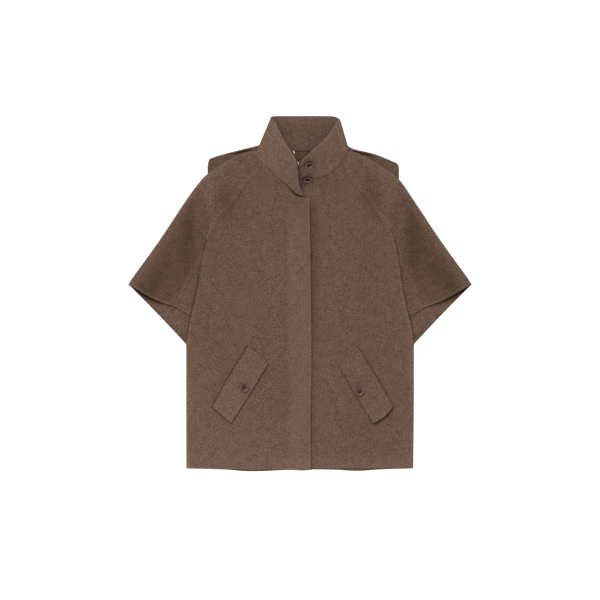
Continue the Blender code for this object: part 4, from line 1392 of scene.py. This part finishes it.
def build_studs(finish):
    model = model_stud(finish)
    for spot in COLLAR_STUDS:
        node = "collar_stud_" + spot.name
        stud = copy_of(model, node + "_cap")
        point, outward = collar_frame(spot.along, spot.up)
        stand_on(stud, point - outward * (COLLAR_WALL / 2 + STUD_STANDOFF), -outward)
        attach(stud, "root")
        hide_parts(node)
    bpy.data.objects.remove(model, do_unlink=True)


# ---- Studio ----

CAMERA_PLACE = (0, -0.0147, 7.667)
LENS = 200.0
FAR_CLIP = 60
KEY_PLACE = (-2.2, 3.4, 7.0)
KEY_SIZE = 1.8
KEY_POWER = 282
SKY = 0.92
FLOOR_SIZE = 14
FLOOR_Z = -0.0004  # just under the cloth
FLOOR_WHITE = (0.85, 0.85, 0.85)
FLOOR_GLOW = 0.5


def add_camera():
    camera = bpy.data.objects.new("camera", bpy.data.cameras.new("camera"))
    camera.data.lens = LENS
    camera.data.clip_end = FAR_CLIP
    camera.location = CAMERA_PLACE
    bpy.context.scene.collection.objects.link(camera)
    bpy.context.scene.camera = camera


def add_key():
    lamp = bpy.data.lights.new("key", "AREA")
    lamp.shape = "SQUARE"
    lamp.size = KEY_SIZE
    lamp.energy = KEY_POWER
    light = bpy.data.objects.new("key", lamp)
    light.location = KEY_PLACE
    light.rotation_euler = (-Vector(KEY_PLACE)).to_track_quat("-Z", "Y").to_euler()
    bpy.context.scene.collection.objects.link(light)


def add_floor():
    deselect_all()
    bpy.ops.mesh.primitive_plane_add(size=FLOOR_SIZE, location=(0, 0, FLOOR_Z))
    floor = bpy.context.object
    floor.name = "floor"
    shop = Shop("studio_floor")
    shop.shade(Base_Color=FLOOR_WHITE, Roughness=0.8, Specular_IOR_Level=0.1,
               Emission_Color=(1.0, 1.0, 1.0), Emission_Strength=FLOOR_GLOW)
    floor.data.materials.append(shop.material)


def add_studio():
    add_camera()
    add_floor()
    world = bpy.data.worlds.new("studio")
    world.use_nodes = True
    background = world.node_tree.nodes["Background"]
    background.inputs["Color"].default_value = (1, 1, 1, 1)
    background.inputs["Strength"].default_value = SKY
    bpy.context.scene.world = world
    add_key()
    bpy.context.scene.view_settings.view_transform = "Standard"


def main():
    add_studio()
    outside = wool("wool")
    inside = wool("wool_inside")
    # the pale ring on the pocket buttons is a painted highlight
    rim = horn("horn_rim", (0.190, 0.130, 0.115))
    bowl = horn("horn_bowl", (0.035, 0.014, 0.011))
    sewing = thread("thread")
    stock = horn("horn", (0.105, 0.054, 0.046))
    kit = model_button((stock, bowl, rim, rim), sewing, POCKET_FACE)
    # collar buttons: a painted-shade copy of the same stock, with rings of painted highlight, brighter on the
    # upper half
    dark = horn("horn_dark", (0.040, 0.016, 0.012))
    low_highlight = horn("horn_dark_rim", (0.33, 0.23, 0.19))
    top_highlight = horn("horn_light_rim", (0.34, 0.25, 0.205))
    shaded_kit = model_button((dark, bowl, low_highlight, top_highlight), sewing, COLLAR_FACE)
    build_storm_flap(outside)
    build_back(inside)
    for side in SIDES:
        build_sleeve_front(side, outside)
        build_sleeve_back(side, inside)
        build_wing(side, outside)
        build_front(side, outside)
    build_collar(outside)
    for pocket in POCKETS:
        build_pocket(pocket, outside, kit)
    build_collar_buttons(shaded_kit)
    for piece in kit + shaded_kit:
        bpy.data.objects.remove(piece, do_unlink=True)
    build_studs(steel("steel"))


main()
